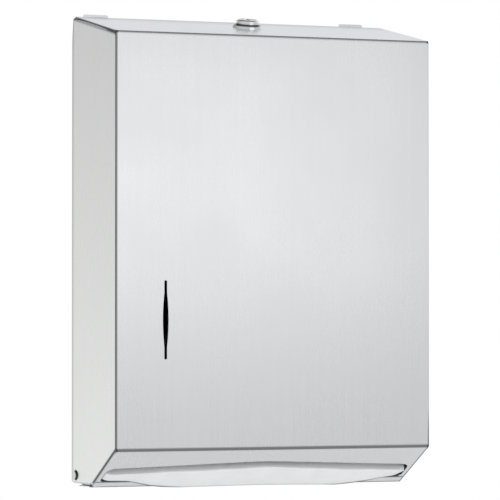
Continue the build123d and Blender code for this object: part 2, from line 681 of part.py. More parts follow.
def lock_nut():
    """Hexagon nut that clamps the lock to the sloped top."""
    top = -SHEET - 2 * LAP_GAP - LOCK_WASHER
    nut = extrude(Pos(0, 0, top - LOCK_NUT) * RegularPolygon(LOCK_NUT_RADIUS, 6), amount=LOCK_NUT)
    return on_lock(nut - lock_disc(LOCK_BARREL_RADIUS + LOCK_NUT_GAP, -20, 1))


def wafer_levels():
    """Levels of the wafers' middles on the lock's axis."""
    return [-WAFER_FIRST - WAFER_PITCH * number for number in range(WAFER_COUNT)]


def lock_plug():
    """Turning plug with its keyway, wafer slots and a square end for the cam."""
    face = LOCK_BOSS - PLUG_RECESS
    plug = lock_disc(PLUG_HEAD_RADIUS, face - PLUG_HEAD, face)
    plug += lock_disc(PLUG_RADIUS, CAM_TOP, face - PLUG_HEAD / 2)
    half_square = PLUG_SQUARE / 2
    square_end = CAM_TOP - CAM
    plug += block((-half_square, half_square), (-half_square, half_square), (square_end, CAM_TOP + 1))
    half_key = KEYWAY_WIDTH / 2
    high_key = KEYWAY_HEIGHT / 2
    plug -= block((-half_key, half_key), (-high_key, high_key), (face - KEYWAY_DEPTH, face + 1))
    half_slot = WAFER_WIDTH / 2 + WAFER_GAP
    half_thick = WAFER / 2 + WAFER_GAP
    for level in wafer_levels():
        z_range = (level - half_thick, level + half_thick)
        plug -= block((-half_slot, half_slot), (-PLUG_RADIUS - 1, PLUG_RADIUS + 1), z_range)
    plug -= lock_disc(CAM_SCREW_RADIUS, CAM_TOP - CAM - 1, CAM_TOP + CAM_SCREW_LENGTH - CAM)
    return on_lock(plug)


def lock_wafers():
    """Five flat wafers across the plug, each with a window for the key."""
    group = []
    half = WAFER_WIDTH / 2
    window = KEYWAY_WIDTH / 2 + WAFER_GAP
    for level in wafer_levels():
        z_range = (level - WAFER / 2, level + WAFER / 2)
        wafer = block((-half, half), (WAFER_LOW, WAFER_HIGH), z_range)
        wafer -= block((-window, window), (WAFER_LOW + 1.2, WAFER_HIGH - 1.2), (level - 1, level + 1))
        group.append(on_lock(wafer))
    return Compound(children=group)


def wafer_springs():
    """Five small springs under the wafers, each drawn as the outside of its coil."""
    group = []
    low = -PLUG_RADIUS + 0.2
    for level in wafer_levels():
        plane = Plane(origin=(0, low, level), x_dir=(1, 0, 0), z_dir=(0, 1, 0))
        spring = extrude(plane * Circle(WAFER_SPRING_RADIUS), amount=WAFER_LOW - low)
        group.append(on_lock(spring))
    return Compound(children=group)


def lock_cam():
    """Flat cam on the plug's square end, pointing to the wall when the lock is open."""
    length = CAM_REACH + CAM_TAIL
    face = Pos(0, (CAM_REACH - CAM_TAIL) / 2) * RectangleRounded(CAM_WIDTH, length, CAM_WIDTH / 2 - 0.5)
    face += Pos(0, CAM_REACH - CAM_WIDTH / 4) * RectangleRounded(CAM_WIDTH, CAM_WIDTH / 2, 1.5)
    cam = extrude(Pos(0, 0, CAM_TOP - CAM) * face, amount=CAM)
    half = PLUG_SQUARE / 2 + CAM_FIT
    return on_lock(cam - block((-half, half), (-half, half), (CAM_TOP - CAM - 1, CAM_TOP + 1)))


def cam_screw():
    """Screw that holds the cam on the plug."""
    seat = CAM_TOP - CAM - CAM_FIT
    head = lock_disc(CAM_SCREW_HEAD_RADIUS, seat - CAM_SCREW_HEAD, seat)
    head = fillet(head.edges().filter_by(GeomType.CIRCLE).sort_by(Axis.Z)[0], CAM_SCREW_HEAD / 2)
    shank = lock_disc(CAM_SCREW_RADIUS - CAM_FIT, seat - 0.5, CAM_TOP + CAM_SCREW_LENGTH - CAM - 0.5)
    slot = block((-10, 10), (-0.6, 0.6), (seat - CAM_SCREW_HEAD - 1, seat - CAM_SCREW_HEAD / 2))
    return on_lock(head + shank - slot)


def rivet_group(spots, front):
    """Like rivets in one group."""
    return Compound(children=[rivet(x, z, front) for x, z in spots])


def save(node, shape):
    """Write one piece with its heights counted from the centre of the wall screws."""
    export_step(Pos(0, 0, -MOUNT_HEIGHT) * shape, f"parts/{node}.step")


def save_pair(node, shape):
    """Write the right-hand piece and its mirror image."""
    save(f"{node}_right", shape)
    save(f"{node}_left", mirror(shape, Plane.YZ))


def main():
    os.makedirs("parts", exist_ok=True)
    right_spots = bracket_rivet_spots()
    left_spots = [(-x, z) for x, z in right_spots]
    save("back_plate", back_plate())
    save_pair("hinge_bracket", hinge_bracket())
    save_pair("hinge_pin", hinge_pin())
    save_pair("hinge_washer", hinge_washer())
    save("bracket_rivets", rivet_group(right_spots + left_spots, -BACK - BRACKET))
    save("strike_bracket", strike_bracket())
    save("strike_rivets", rivet_group(strike_rivet_spots(), -BACK - STRIKE))
    save("towel_tray", towel_tray())
    save("tray_rivets", rivet_group(tray_rivet_spots(), -BACK - TRAY))
    save("towel_stack", towel_stack())
    save("lead_towel", lead_towel())
    save("front_wrap", front_wrap())
    save_pair("side_panel", side_panel())
    save_pair("hinge_doubler", hinge_doubler())
    save("lock_body", lock_body())
    save("lock_washer", lock_washer())
    save("lock_nut", lock_nut())
    save("lock_plug", lock_plug())
    save("lock_wafers", lock_wafers())
    save("wafer_springs", wafer_springs())
    save("lock_cam", lock_cam())
    save("cam_screw", cam_screw())


main()
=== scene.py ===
"""Looks for a surface-mounted folded paper towel dispenser, laid out as a Blender add-on."""

import json
import math

import bmesh
import bpy
import numpy as np
from bpy.props import FloatProperty, FloatVectorProperty, IntProperty, PointerProperty
from mathutils import Matrix, Vector


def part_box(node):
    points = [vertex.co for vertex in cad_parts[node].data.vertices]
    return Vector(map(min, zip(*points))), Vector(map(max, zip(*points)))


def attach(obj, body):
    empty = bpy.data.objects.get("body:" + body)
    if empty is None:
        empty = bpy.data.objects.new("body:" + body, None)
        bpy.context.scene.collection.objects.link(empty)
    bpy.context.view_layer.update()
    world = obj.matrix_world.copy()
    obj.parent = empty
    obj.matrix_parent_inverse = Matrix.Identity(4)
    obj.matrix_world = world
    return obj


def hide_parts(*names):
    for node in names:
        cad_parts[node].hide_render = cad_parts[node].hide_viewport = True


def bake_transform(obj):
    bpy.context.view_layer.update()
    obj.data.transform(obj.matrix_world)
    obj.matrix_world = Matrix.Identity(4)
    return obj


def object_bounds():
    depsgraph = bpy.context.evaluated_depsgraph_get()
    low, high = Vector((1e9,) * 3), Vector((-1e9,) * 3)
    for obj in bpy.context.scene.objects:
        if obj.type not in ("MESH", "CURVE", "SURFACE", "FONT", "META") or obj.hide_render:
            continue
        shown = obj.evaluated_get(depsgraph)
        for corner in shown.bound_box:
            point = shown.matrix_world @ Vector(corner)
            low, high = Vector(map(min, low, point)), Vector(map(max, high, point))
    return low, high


bl_info = {
    "name": "Folded Towel Dispenser",
    "version": (1, 0, 0),
    "blender": (4, 5, 0),
    "location": "View3D > Sidebar > Dispenser",
    "description": "Finishes, towels and studio for a wall-mounted folded towel dispenser",
    "category": "Object",
}

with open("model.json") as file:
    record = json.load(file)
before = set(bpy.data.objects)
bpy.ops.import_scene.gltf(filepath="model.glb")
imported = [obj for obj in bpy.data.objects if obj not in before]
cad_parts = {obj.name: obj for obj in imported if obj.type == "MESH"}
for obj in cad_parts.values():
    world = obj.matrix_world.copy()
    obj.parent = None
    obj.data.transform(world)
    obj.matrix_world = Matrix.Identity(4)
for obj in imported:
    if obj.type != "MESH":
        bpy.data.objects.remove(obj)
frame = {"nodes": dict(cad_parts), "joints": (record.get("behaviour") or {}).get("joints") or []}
NODES = frame["nodes"]
CAD_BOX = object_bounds()

COVER_PANELS = ["side_panel_left", "side_panel_right"]
BACK_STEEL = ["towel_tray", "strike_bracket"]
HINGE_STEEL = ["hinge_bracket_left", "hinge_bracket_right", "hinge_doubler_left", "hinge_doubler_right"]
PINS = ["hinge_pin_left", "hinge_pin_right"]
RIVETS = ["bracket_rivets", "strike_rivets", "tray_rivets"]
LOCK_CHROME = ["lock_body", "lock_washer", "lock_nut", "lock_cam", "cam_screw"]
LOCK_BRASS = ["lock_plug", "lock_wafers"]

# Heights on the cover are counted from its bottom, which lies this far below the screw centre.
COVER_BOTTOM = -0.2196
COVER_HALF = 0.1365
# The bevel with the dispensing slot, as (y, height) of its upper bend and its unit step downwards.
BEVEL_TOP = (-0.1020, 0.0308)
BEVEL_STEP = (0.8748, -0.4846)
# The slot: half its width, and how far down the bevel its upper edge lies in the middle, how much
# farther at the ends, and how far down its lower edge lies.
SLOT_HALF = 0.1325
SLOT_APEX = 0.022
SLOT_FALL = 0.010
SLOT_LOW = 0.05456


class SteelFinish(bpy.types.PropertyGroup):
    """Colours, grain and painted shade of the steel sheet."""

    light_colour: FloatVectorProperty(
        name="Light steel",
        description="Colour of the raised grain of the satin cover",
        subtype="COLOR", min=0.0, max=1.0, default=(0.797, 0.803, 0.820),
    )
    dark_colour: FloatVectorProperty(
        name="Dark steel",
        description="Colour between the grain of the satin cover",
        subtype="COLOR", min=0.0, max=1.0, default=(0.765, 0.771, 0.788),
    )
    # Painted shade: this dark colour is painted along the bends, cut edges, slot lip, top's rear and tab
    # foot, standing for the shade and dark reflections seen there.
    bend_shade_colour: FloatVectorProperty(
        name="Bend steel",
        description="Colour of the dull lines that the press leaves along the bends",
        subtype="COLOR", min=0.0, max=1.0, default=(0.165, 0.167, 0.170),
    )
    # Painted shade: this near-black colour is painted in the grooves where the wrap meets the side panels,
    # along the panels' rear edges and at the corners, where shade falls.
    seam_shade_colour: FloatVectorProperty(
        name="Seam steel",
        description="Colour in the grooves where the wrap meets the side panels",
        subtype="COLOR", min=0.0, max=1.0, default=(0.060, 0.061, 0.063),
    )
    # Painted shade: how strongly that shade is painted into the colour.
    painted_shade_strength: FloatProperty(
        name="Bend shade",
        description="How strongly the bends and cut edges are dulled",
        subtype="FACTOR", min=0.0, max=1.0, default=0.9,
    )
    inner_colour: FloatVectorProperty(
        name="Inner steel",
        description="Colour of the mill-finished back, tray and brackets",
        subtype="COLOR", min=0.0, max=1.0, default=(0.560, 0.566, 0.572),
    )
    grain_width: FloatProperty(
        name="Grain width",
        description="Width of one scratch of the satin finish",
        subtype="DISTANCE", unit="LENGTH", min=0.0001, default=0.0007,
    )
    grain_length: FloatProperty(
        name="Grain length",
        description="Length over which one scratch of the satin finish fades",
        subtype="DISTANCE", unit="LENGTH", min=0.005, default=0.11,
    )
    polish: FloatProperty(
        name="Roughness",
        description="Mean roughness of the satin finish",
        subtype="FACTOR", min=0.05, max=0.9, default=0.28,
    )


class LockFinish(bpy.types.PropertyGroup):
    """Colours of the lock, pins, rivets and washers."""

    chrome_colour: FloatVectorProperty(
        name="Chrome",
        description="Colour of the plated lock parts",
        subtype="COLOR", min=0.0, max=1.0, default=(0.988, 0.990, 0.994),
    )
    plug_colour: FloatVectorProperty(
        name="Plug",
        description="Colour of the nickelled brass plug and wafers",
        subtype="COLOR", min=0.0, max=1.0, default=(0.600, 0.585, 0.545),
    )
    pin_colour: FloatVectorProperty(
        name="Pins",
        description="Colour of the steel pins and rivets",
        subtype="COLOR", min=0.0, max=1.0, default=(0.620, 0.628, 0.640),
    )
    washer_colour: FloatVectorProperty(
        name="Washers",
        description="Colour of the nylon hinge washers",
        subtype="COLOR", min=0.0, max=1.0, default=(0.720, 0.705, 0.660),
    )


class TowelSettings(bpy.types.PropertyGroup):
    """Sizes and colour of the paper towels."""

    paper_colour: FloatVectorProperty(
        name="Paper",
        description="Colour of the towel paper",
        subtype="COLOR", min=0.0, max=1.0, default=(0.950, 0.954, 0.964),
    )
    ply: FloatProperty(
        name="Ply",
        description="Thickness of one layer of towel paper",
        subtype="DISTANCE", unit="LENGTH", min=0.00005, default=0.00030,
    )
    emboss_pitch: FloatProperty(
        name="Emboss pitch",
        description="Distance between the pressed dots in the paper",
        subtype="DISTANCE", unit="LENGTH", min=0.0005, default=0.0022,
    )
    lead_left: FloatProperty(
        name="Lead towel left",
        description="Left end of the hanging towel, from the middle of the cover",
        subtype="DISTANCE", unit="LENGTH", default=-0.1323,
    )
    lead_right: FloatProperty(
        name="Lead towel right",
        description="Right end of the hanging towel, from the middle of the cover",
        subtype="DISTANCE", unit="LENGTH", default=0.1272,
    )
    fold_gap: FloatProperty(
        name="Fold gap",
        description="Distance between the two layers of the hanging towel's fold",
        subtype="DISTANCE", unit="LENGTH", min=0.0002, default=0.00070,
    )
    stack_count: IntProperty(
        name="Towels",
        description="Number of folded towels in the stack",
        min=1, default=58,
    )
    stack_shift: FloatProperty(
        name="Stack shift",
        description="How far a towel in the stack lies from its neighbours",
        subtype="DISTANCE", unit="LENGTH", min=0.0, default=0.00045,
    )
    seed: IntProperty(
        name="Seed",
        description="Fixes how the towels in the stack are shifted",
        default=7,
    )


class StageSettings(bpy.types.PropertyGroup):
    """Camera, lights and floor of the studio."""

    camera_place: FloatVectorProperty(
        name="Camera",
        description="Place of the camera",
        subtype="TRANSLATION", unit="LENGTH", default=(-1.0779, -2.6049, -0.0913),
    )
    camera_aim: FloatVectorProperty(
        name="Aim",
        description="Point that the camera looks at",
        subtype="TRANSLATION", unit="LENGTH", default=(-0.00070, -0.0510, -0.0285),
    )
    lens: FloatProperty(
        name="Lens",
        description="Focal length on a 36 mm wide sensor, in millimetres",
        unit="CAMERA", min=1.0, default=244.8,
    )
    floor_drop: FloatProperty(
        name="Floor drop",
        description="Height of the hanging dispenser over the floor",
        subtype="DISTANCE", unit="LENGTH", min=0.0, default=0.30,
    )
    room_light: FloatProperty(
        name="Room light",
        description="Strength of the even light of the room",
        min=0.0, default=1.0,
    )
    key_power: FloatProperty(
        name="Key lamp",
        description="Power of the soft box before the cover",
        unit="POWER", min=0.0, default=0.84,
    )


def add_node(tree, kind, **values):
    """Add a node to a tree and set its properties."""
    node = tree.nodes.new(kind)
    for key, value in values.items():
        setattr(node, key, value)
    return node


def feed(tree, socket, value):
    """Link an input to another socket, or set its value."""
    if isinstance(value, bpy.types.NodeSocket):
        tree.links.new(value, socket)
    else:
        socket.default_value = value


def math_node(tree, operation, *values):
    """Add a math node whose inputs are sockets or numbers, and return its output."""
    node = add_node(tree, "ShaderNodeMath", operation=operation)
    for socket, value in zip(node.inputs, values):
        feed(tree, socket, value)
    return node.outputs["Value"]


def map_range(tree, value, low, high, start=0.0, end=1.0):
    """Map a value from one range to another and return the output."""
    node = add_node(tree, "ShaderNodeMapRange")
    tree.links.new(value, node.inputs["Value"])
    for name, number in (("From Min", start), ("From Max", end), ("To Min", low), ("To Max", high)):
        node.inputs[name].default_value = number
    return node.outputs["Result"]


def mix_colour(tree, factor, first, second):
    """Mix two colours, each a socket or a colour, and return the output."""
    node = add_node(tree, "ShaderNodeMix", data_type="RGBA")
    tree.links.new(factor, node.inputs["Factor"])
    for name, value in (("A", first), ("B", second)):
        socket = [s for s in node.inputs if s.name == name and s.type == "RGBA"][0]
        given = isinstance(value, bpy.types.NodeSocket)
        feed(tree, socket, value if given else (*value, 1.0))
    return [s for s in node.outputs if s.type == "RGBA"][0]


def noise(tree, vector, scale, detail=2.0, roughness=0.5):
    """Add a noise texture on a vector and return its value."""
    node = add_node(tree, "ShaderNodeTexNoise")
    tree.links.new(vector, node.inputs["Vector"])
    for name, value in (("Scale", scale), ("Detail", detail), ("Roughness", roughness)):
        node.inputs[name].default_value = value
    return node.outputs["Fac"]


def stretched(tree, vector, stretch):
    """Multiply a vector by another, a socket or three numbers, and return the output."""
    node = add_node(tree, "ShaderNodeVectorMath", operation="MULTIPLY")
    tree.links.new(vector, node.inputs[0])
    feed(tree, node.inputs[1], stretch)
    return node.outputs["Vector"]


def bump(tree, height, strength, distance):
    """Add a bump node on a height and return its normal."""
    node = add_node(tree, "ShaderNodeBump")
    tree.links.new(height, node.inputs["Height"])
    node.inputs["Strength"].default_value = strength
    node.inputs["Distance"].default_value = distance
    return node.outputs["Normal"]


def new_group(name, inputs, outputs, kind="ShaderNodeTree"):
    """Start a node group with named sockets of some kinds, and return it with its two end nodes."""
    group = bpy.data.node_groups.new(name, kind)
    for way, sockets in (("INPUT", inputs), ("OUTPUT", outputs)):
        for title, value in sockets.items():
            group.interface.new_socket(title, in_out=way, socket_type="NodeSocket" + value)
    return group, add_node(group, "NodeGroupInput"), add_node(group, "NodeGroupOutput")


def sheet_grain_group(name):
    """Grain of rolled or brushed sheet: fine scratches, wider bands and soft clouds."""
    outputs = {"Scratch": "Float", "Band": "Float", "Cloud": "Float"}
    group, start, end = new_group(name, {"Vector": "Vector", "Stretch": "Vector"}, outputs)
    drawn = stretched(group, start.outputs["Vector"], start.outputs["Stretch"])
    group.links.new(noise(group, drawn, 1.0, detail=3.0, roughness=0.65), end.inputs["Scratch"])
    group.links.new(noise(group, drawn, 0.11, roughness=0.55), end.inputs["Band"])
    group.links.new(noise(group, start.outputs["Vector"], 11.0, detail=3.0), end.inputs["Cloud"])
    return group


def line_shade_group(name):
    """Mask of a line or edge: one near a place, fading over a short distance across it."""
    inputs = {"Vector": "Vector", "Place": "Vector", "Across": "Vector", "Near": "Float", "Far": "Float"}
    group, start, end = new_group(name, inputs, {"Mask": "Float"})
    away = add_node(group, "ShaderNodeVectorMath", operation="SUBTRACT")
    group.links.new(start.outputs["Vector"], away.inputs[0])
    group.links.new(start.outputs["Place"], away.inputs[1])
    flat = stretched(group, away.outputs["Vector"], start.outputs["Across"])
    length = add_node(group, "ShaderNodeVectorMath", operation="LENGTH")
    group.links.new(flat, length.inputs[0])
    fade = add_node(group, "ShaderNodeMapRange", interpolation_type="SMOOTHSTEP")
    group.links.new(length.outputs["Value"], fade.inputs["Value"])
    group.links.new(start.outputs["Near"], fade.inputs["From Min"])
    group.links.new(start.outputs["Far"], fade.inputs["From Max"])
    fade.inputs["To Min"].default_value = 1.0
    fade.inputs["To Max"].default_value = 0.0
    group.links.new(fade.outputs["Result"], end.inputs["Mask"])
    return group


def line_shade(tree, vector, lines):
    """Mask of several lines, each given by a place, the axes across it and two distances."""
    mask = None
    for place, across, near, far in lines:
        node = placed_group(tree, "line_shade", vector, Place=place, Across=across, Near=near, Far=far)
        mask = node["Mask"] if mask is None else math_node(tree, "MAXIMUM", mask, node["Mask"])
    return mask


def turned_rings_group(name):
    """Fine rings of a turned or polished round part, and the haze of handling on it."""
    outputs = {"Ring": "Float", "Haze": "Float"}
    group, start, end = new_group(name, {"Vector": "Vector", "Pitch": "Float"}, outputs)
    flat = stretched(group, start.outputs["Vector"], ABOUT_Z)
    length = add_node(group, "ShaderNodeVectorMath", operation="LENGTH")
    group.links.new(flat, length.inputs[0])
    turns = math_node(group, "DIVIDE", length.outputs["Value"], start.outputs["Pitch"])
    line = add_node(group, "ShaderNodeCombineXYZ")
    group.links.new(turns, line.inputs["X"])
    group.links.new(noise(group, line.outputs["Vector"], 1.0, roughness=0.6), end.inputs["Ring"])
    haze = noise(group, start.outputs["Vector"], 160.0, detail=3.0, roughness=0.55)
    group.links.new(haze, end.inputs["Haze"])
    return group


def paper_press_group(name):
    """Pressed dots and fibres of towel paper."""
    outputs = {"Dot": "Float", "Fibre": "Float", "Mottle": "Float"}
    group, start, end = new_group(name, {"Vector": "Vector", "Pitch": "Float"}, outputs)
    scaled = add_node(group, "ShaderNodeVectorMath", operation="SCALE")
    group.links.new(start.outputs["Vector"], scaled.inputs[0])
    rate = math_node(group, "DIVIDE", 1.0, start.outputs["Pitch"])
    group.links.new(rate, scaled.inputs["Scale"])
    cells = add_node(group, "ShaderNodeTexVoronoi", feature="F1")
    group.links.new(scaled.outputs["Vector"], cells.inputs["Vector"])
    cells.inputs["Scale"].default_value = 1.0
    cells.inputs["Randomness"].default_value = 0.12
    group.links.new(map_range(group, cells.outputs["Distance"], 0.0, 1.0, 0.18, 0.5), end.inputs["Dot"])
    fibre = stretched(group, start.outputs["Vector"], (900.0, 2600.0, 2600.0))
    group.links.new(noise(group, fibre, 1.0, detail=3.0, roughness=0.6), end.inputs["Fibre"])
    group.links.new(noise(group, start.outputs["Vector"], 55.0, detail=3.0), end.inputs["Mottle"])
    return group


GROUPS = {
    "sheet_grain": sheet_grain_group,
    "line_shade": line_shade_group,
    "turned_rings": turned_rings_group,
    "paper_press": paper_press_group,
}


def new_material(name):
    """Start a material with a principled shader, and return it with its tree and shader."""
    material = bpy.data.materials.new(name)
    material.use_nodes = True
    tree = material.node_tree
    tree.nodes.clear()
    shader = add_node(tree, "ShaderNodeBsdfPrincipled")
    output = add_node(tree, "ShaderNodeOutputMaterial")
    tree.links.new(shader.outputs["BSDF"], output.inputs["Surface"])
    return material, tree, shader


def surface(tree, shader, colour, rough, normal, metallic=0.0):
    """Give a shader its colour, roughness and normal, and say how metallic it is."""
    tree.links.new(colour, shader.inputs["Base Color"])
    tree.links.new(rough, shader.inputs["Roughness"])
    tree.links.new(normal, shader.inputs["Normal"])
    shader.inputs["Metallic"].default_value = metallic


def placed_group(tree, name, vector, **values):
    """Place a shared node group in a material, with its vector linked and its other inputs set."""
    group = bpy.data.node_groups.get(name) or GROUPS[name](name)
    node = add_node(tree, "ShaderNodeGroup", node_tree=group)
    tree.links.new(vector, node.inputs["Vector"])
    for key, value in values.items():
        node.inputs[key].default_value = value
    return node.outputs


def object_vector(tree):
    """Object coordinates of a material."""
    return add_node(tree, "ShaderNodeTexCoord").outputs["Object"]


# Axes across a line of a finish: a line along x, a plane at one x, y or z, a round about z, and a spot.
ALONG_X = (0.0, 1.0, 1.0)
AT_X = (1.0, 0.0, 0.0)
AT_Y = (0.0, 1.0, 0.0)
AT_Z = (0.0, 0.0, 1.0)
ABOUT_Z = (1.0, 1.0, 0.0)
SPOT = (1.0, 1.0, 1.0)
# Most values of a noise lie in this span.
NOISE_SPAN = (0.3, 0.7)
# Strength and depth of the bump of fine scratches and rings.
FINE_BUMP = (0.06, 0.0001)
# How much the clouds and the scratches change the roughness of satin steel.
CLOUD_ROUGH = 0.02
SCRATCH_ROUGH = 0.06


def satin_steel(name, finish, across, dull, lines, corners=(), clear=()):
    """Satin stainless sheet, scratched along its length.

    Shade is painted along its bends and edges as dull dark lines, but not where it is kept clear, and its
    corners are painted nearly black as shade.
    """
    material, tree, shader = new_material(name)
    stretch = [1.0 / finish.grain_length] * 3
    stretch[across] = 1.0 / finish.grain_width
    vector = object_vector(tree)
    grain = placed_group(tree, "sheet_grain", vector, Stretch=stretch)
    fine = math_node(tree, "MULTIPLY", grain["Scratch"], 0.7)
    tone = math_node(tree, "MULTIPLY_ADD", grain["Band"], 0.3, fine)
    tone = map_range(tree, tone, 0.0, 1.0, *NOISE_SPAN)
    colour = mix_colour(tree, tone, finish.dark_colour, finish.light_colour)
    # Painted shade: dark lines along the given bends and edges, mixed into the colour.
    mask = line_shade(tree, vector, lines)
    if clear:
        mask = math_node(tree, "SUBTRACT", mask, line_shade(tree, vector, clear))
    dulled = math_node(tree, "MULTIPLY", math_node(tree, "MAXIMUM", mask, 0.0), finish.painted_shade_strength)
    colour = mix_colour(tree, dulled, colour, dull)
    # Painted shade: the corners are painted in the near-black seam colour.
    if corners:
        colour = mix_colour(tree, line_shade(tree, vector, corners), colour, finish.seam_shade_colour)
    low, high = finish.polish - CLOUD_ROUGH, finish.polish + CLOUD_ROUGH
    soft = map_range(tree, grain["Cloud"], low, high, *NOISE_SPAN)
    soft = math_node(tree, "SUBTRACT", soft, SCRATCH_ROUGH / 2)
    rough = math_node(tree, "MULTIPLY_ADD", grain["Scratch"], SCRATCH_ROUGH, soft)
    surface(tree, shader, colour, rough, bump(tree, grain["Scratch"], *FINE_BUMP), metallic=1.0)
    return material


def mill_steel(name, finish, across):
    """Mill-finished sheet of the hidden parts: faint rolling lines under soft clouds."""
    material, tree, shader = new_material(name)
    stretch = [1.0 / (2.0 * finish.grain_length)] * 3
    stretch[across] = 1.0 / (1.6 * finish.grain_width)
    grain = placed_group(tree, "sheet_grain", object_vector(tree), Stretch=stretch)
    tone = math_node(tree, "MULTIPLY_ADD", grain["Scratch"], 0.25, grain["Cloud"])
    tone = map_range(tree, tone, 0.0, 1.0, 0.4, 0.85)
    pale = [min(1.0, value * 1.14) for value in finish.inner_colour]
    colour = mix_colour(tree, tone, finish.inner_colour, pale)
    rough = map_range(tree, grain["Cloud"], 0.30, 0.44, *NOISE_SPAN)
    surface(tree, shader, colour, rough, bump(tree, grain["Scratch"], *FINE_BUMP), metallic=1.0)
    return material


# Turned metal: the distance between its rings, the share of its colour where it is dull, and the share left
# where shade is painted.
RING_PITCH = 0.00035
DULL_SHARE = 0.94
PAINTED_SHADE_SHARE = 0.10
# How far outside a shoulder the painted shade is full, and where the painted shade in a corner fades.
SHOULDER_FADE = 0.0009
CORNER_FADE = (0.00035, 0.0008)


def turned_metal(name, colour, centre, tilt, roughness, shoulder=None, corner=None):
    """Turned or plated round metal with rings about its axis.

    Shade is painted dark outside the shoulder's radius, and in the corner at a height on the axis.
    """
    material, tree, shader = new_material(name)
    mapping = add_node(tree, "ShaderNodeMapping", vector_type="TEXTURE")
    tree.links.new(object_vector(tree), mapping.inputs["Vector"])
    mapping.inputs["Location"].default_value = centre
    mapping.inputs["Rotation"].default_value = tilt
    vector = mapping.outputs["Vector"]
    rings = placed_group(tree, "turned_rings", vector, Pitch=RING_PITCH)
    dull = [value * DULL_SHARE for value in colour]
    painted_shade_colour = [value * PAINTED_SHADE_SHARE for value in colour]
    tone = math_node(tree, "MULTIPLY_ADD", rings["Ring"], 0.4, rings["Haze"])
    tone = map_range(tree, tone, 0.0, 1.0, 0.45, 0.9)
    paint = mix_colour(tree, tone, dull, colour)
    # Painted shade: dark outside the shoulder's radius.
    if shoulder:
        line = (0.0, 0.0, 0.0), ABOUT_Z, shoulder, shoulder + SHOULDER_FADE
        paint = mix_colour(tree, line_shade(tree, vector, [line]), painted_shade_colour, paint)
    # Painted shade: a dark ring at the corner's height.
    if corner:
        line = (0.0, 0.0, corner), AT_Z, *CORNER_FADE
        paint = mix_colour(tree, line_shade(tree, vector, [line]), paint, painted_shade_colour)
    rough = map_range(tree, rings["Haze"], roughness * 0.75, roughness * 1.35, *NOISE_SPAN)
    surface(tree, shader, paint, rough, bump(tree, rings["Ring"], *FINE_BUMP), metallic=1.0)
    return material


def nylon(name, colour):
    """Moulded nylon with a slightly uneven, dull skin."""
    material, tree, shader = new_material(name)
    vector = object_vector(tree)
    cloud = noise(tree, vector, 300.0, detail=3.0, roughness=0.55)
    grey = [value * 0.85 for value in colour]
    mottled = mix_colour(tree, cloud, grey, colour)
    rough = map_range(tree, cloud, 0.42, 0.58)
    surface(tree, shader, mottled, rough, bump(tree, noise(tree, vector, 2500.0), 0.08, 0.0001))
    return material


# Shares of the paper's colour in its hollows and along the fold, where shadow is painted, and how far that
# painted shadow reaches.
PAPER_SHADE = 0.93
CREASE_SHADE = 0.24
CREASE_FADE = (0.0014, 0.0032)


def towel_paper(name, settings, vector_of, fold_of=None):
    """White crepe towel paper with pressed dots, fibres, faint mottling and, where given, a painted shadow
    along its fold.
    """
    material, tree, shader = new_material(name)
    press = placed_group(tree, "paper_press", vector_of(tree), Pitch=settings.emboss_pitch)
    shade = [value * PAPER_SHADE for value in settings.paper_colour]
    tone = math_node(tree, "MULTIPLY_ADD", press["Dot"], 0.30, press["Mottle"])
    tone = math_node(tree, "MULTIPLY_ADD", press["Fibre"], 0.25, tone)
    tone = map_range(tree, tone, 0.0, 1.0, 0.45, 1.05)
    colour = mix_colour(tree, tone, shade, settings.paper_colour)
    # Painted shadow: the fold is darkened where it stands off the lip.
    if fold_of:
        crease = [value * CREASE_SHADE for value in settings.paper_colour]
        colour = mix_colour(tree, fold_of(tree), colour, crease)
    rough = map_range(tree, press["Mottle"], 0.82, 0.94)
    height = math_node(tree, "MULTIPLY_ADD", press["Fibre"], 0.35, press["Dot"])
    surface(tree, shader, colour, rough, bump(tree, height, 0.22, 0.00012))
    shader.inputs["Specular IOR Level"].default_value = 0.25
    return material


def sheet_vector(tree):
    """Coordinates that follow the sheet of the hanging towel, in metres."""
    return add_node(tree, "ShaderNodeUVMap", uv_map="towel_sheet").outputs["UV"]


def painted_fold_shadow(tree):
    """Painted shadow along the hanging towel's fold, from the distance to it and a weight for each place.
    """
    split = add_node(tree, "ShaderNodeSeparateXYZ")
    tree.links.new(add_node(tree, "ShaderNodeUVMap", uv_map="towel_fold").outputs["UV"], split.inputs[0])
    near = map_range(tree, split.outputs["X"], 1.0, 0.0, *CREASE_FADE)
    return math_node(tree, "MULTIPLY", near, split.outputs["Y"])


def finish_nodes(names, material):
    """Give CAD nodes a finish."""
    for name in names:
        mesh = NODES[name].data
        if not mesh.materials:
            mesh.materials.append(material)
        for slot in NODES[name].material_slots:
            slot.material = material


# Bends of the wrap and the slot's lip, as (y, height over the cover's bottom).
TOP_REAR = (-0.0057, 0.3810)
TOP_FRONT = (-0.1020, 0.3620)
BOTTOM_FRONT = (-0.0464, 0.0000)
LIP_EDGE = (-0.0543, 0.0044)
# Middle of the back plate's left tab, along x.
TAB_LEFT = -0.1163


def on_cover(x, spot):
    """A place on the cover, from x and (y, height over its bottom)."""
    return x, spot[0], spot[1] + COVER_BOTTOM


def both_sides(place, across, near, far):
    """The same line of the finish on the left and on the right."""
    x, y, z = place
    return [((side * x, y, z), across, near, far) for side in (-1, 1)]
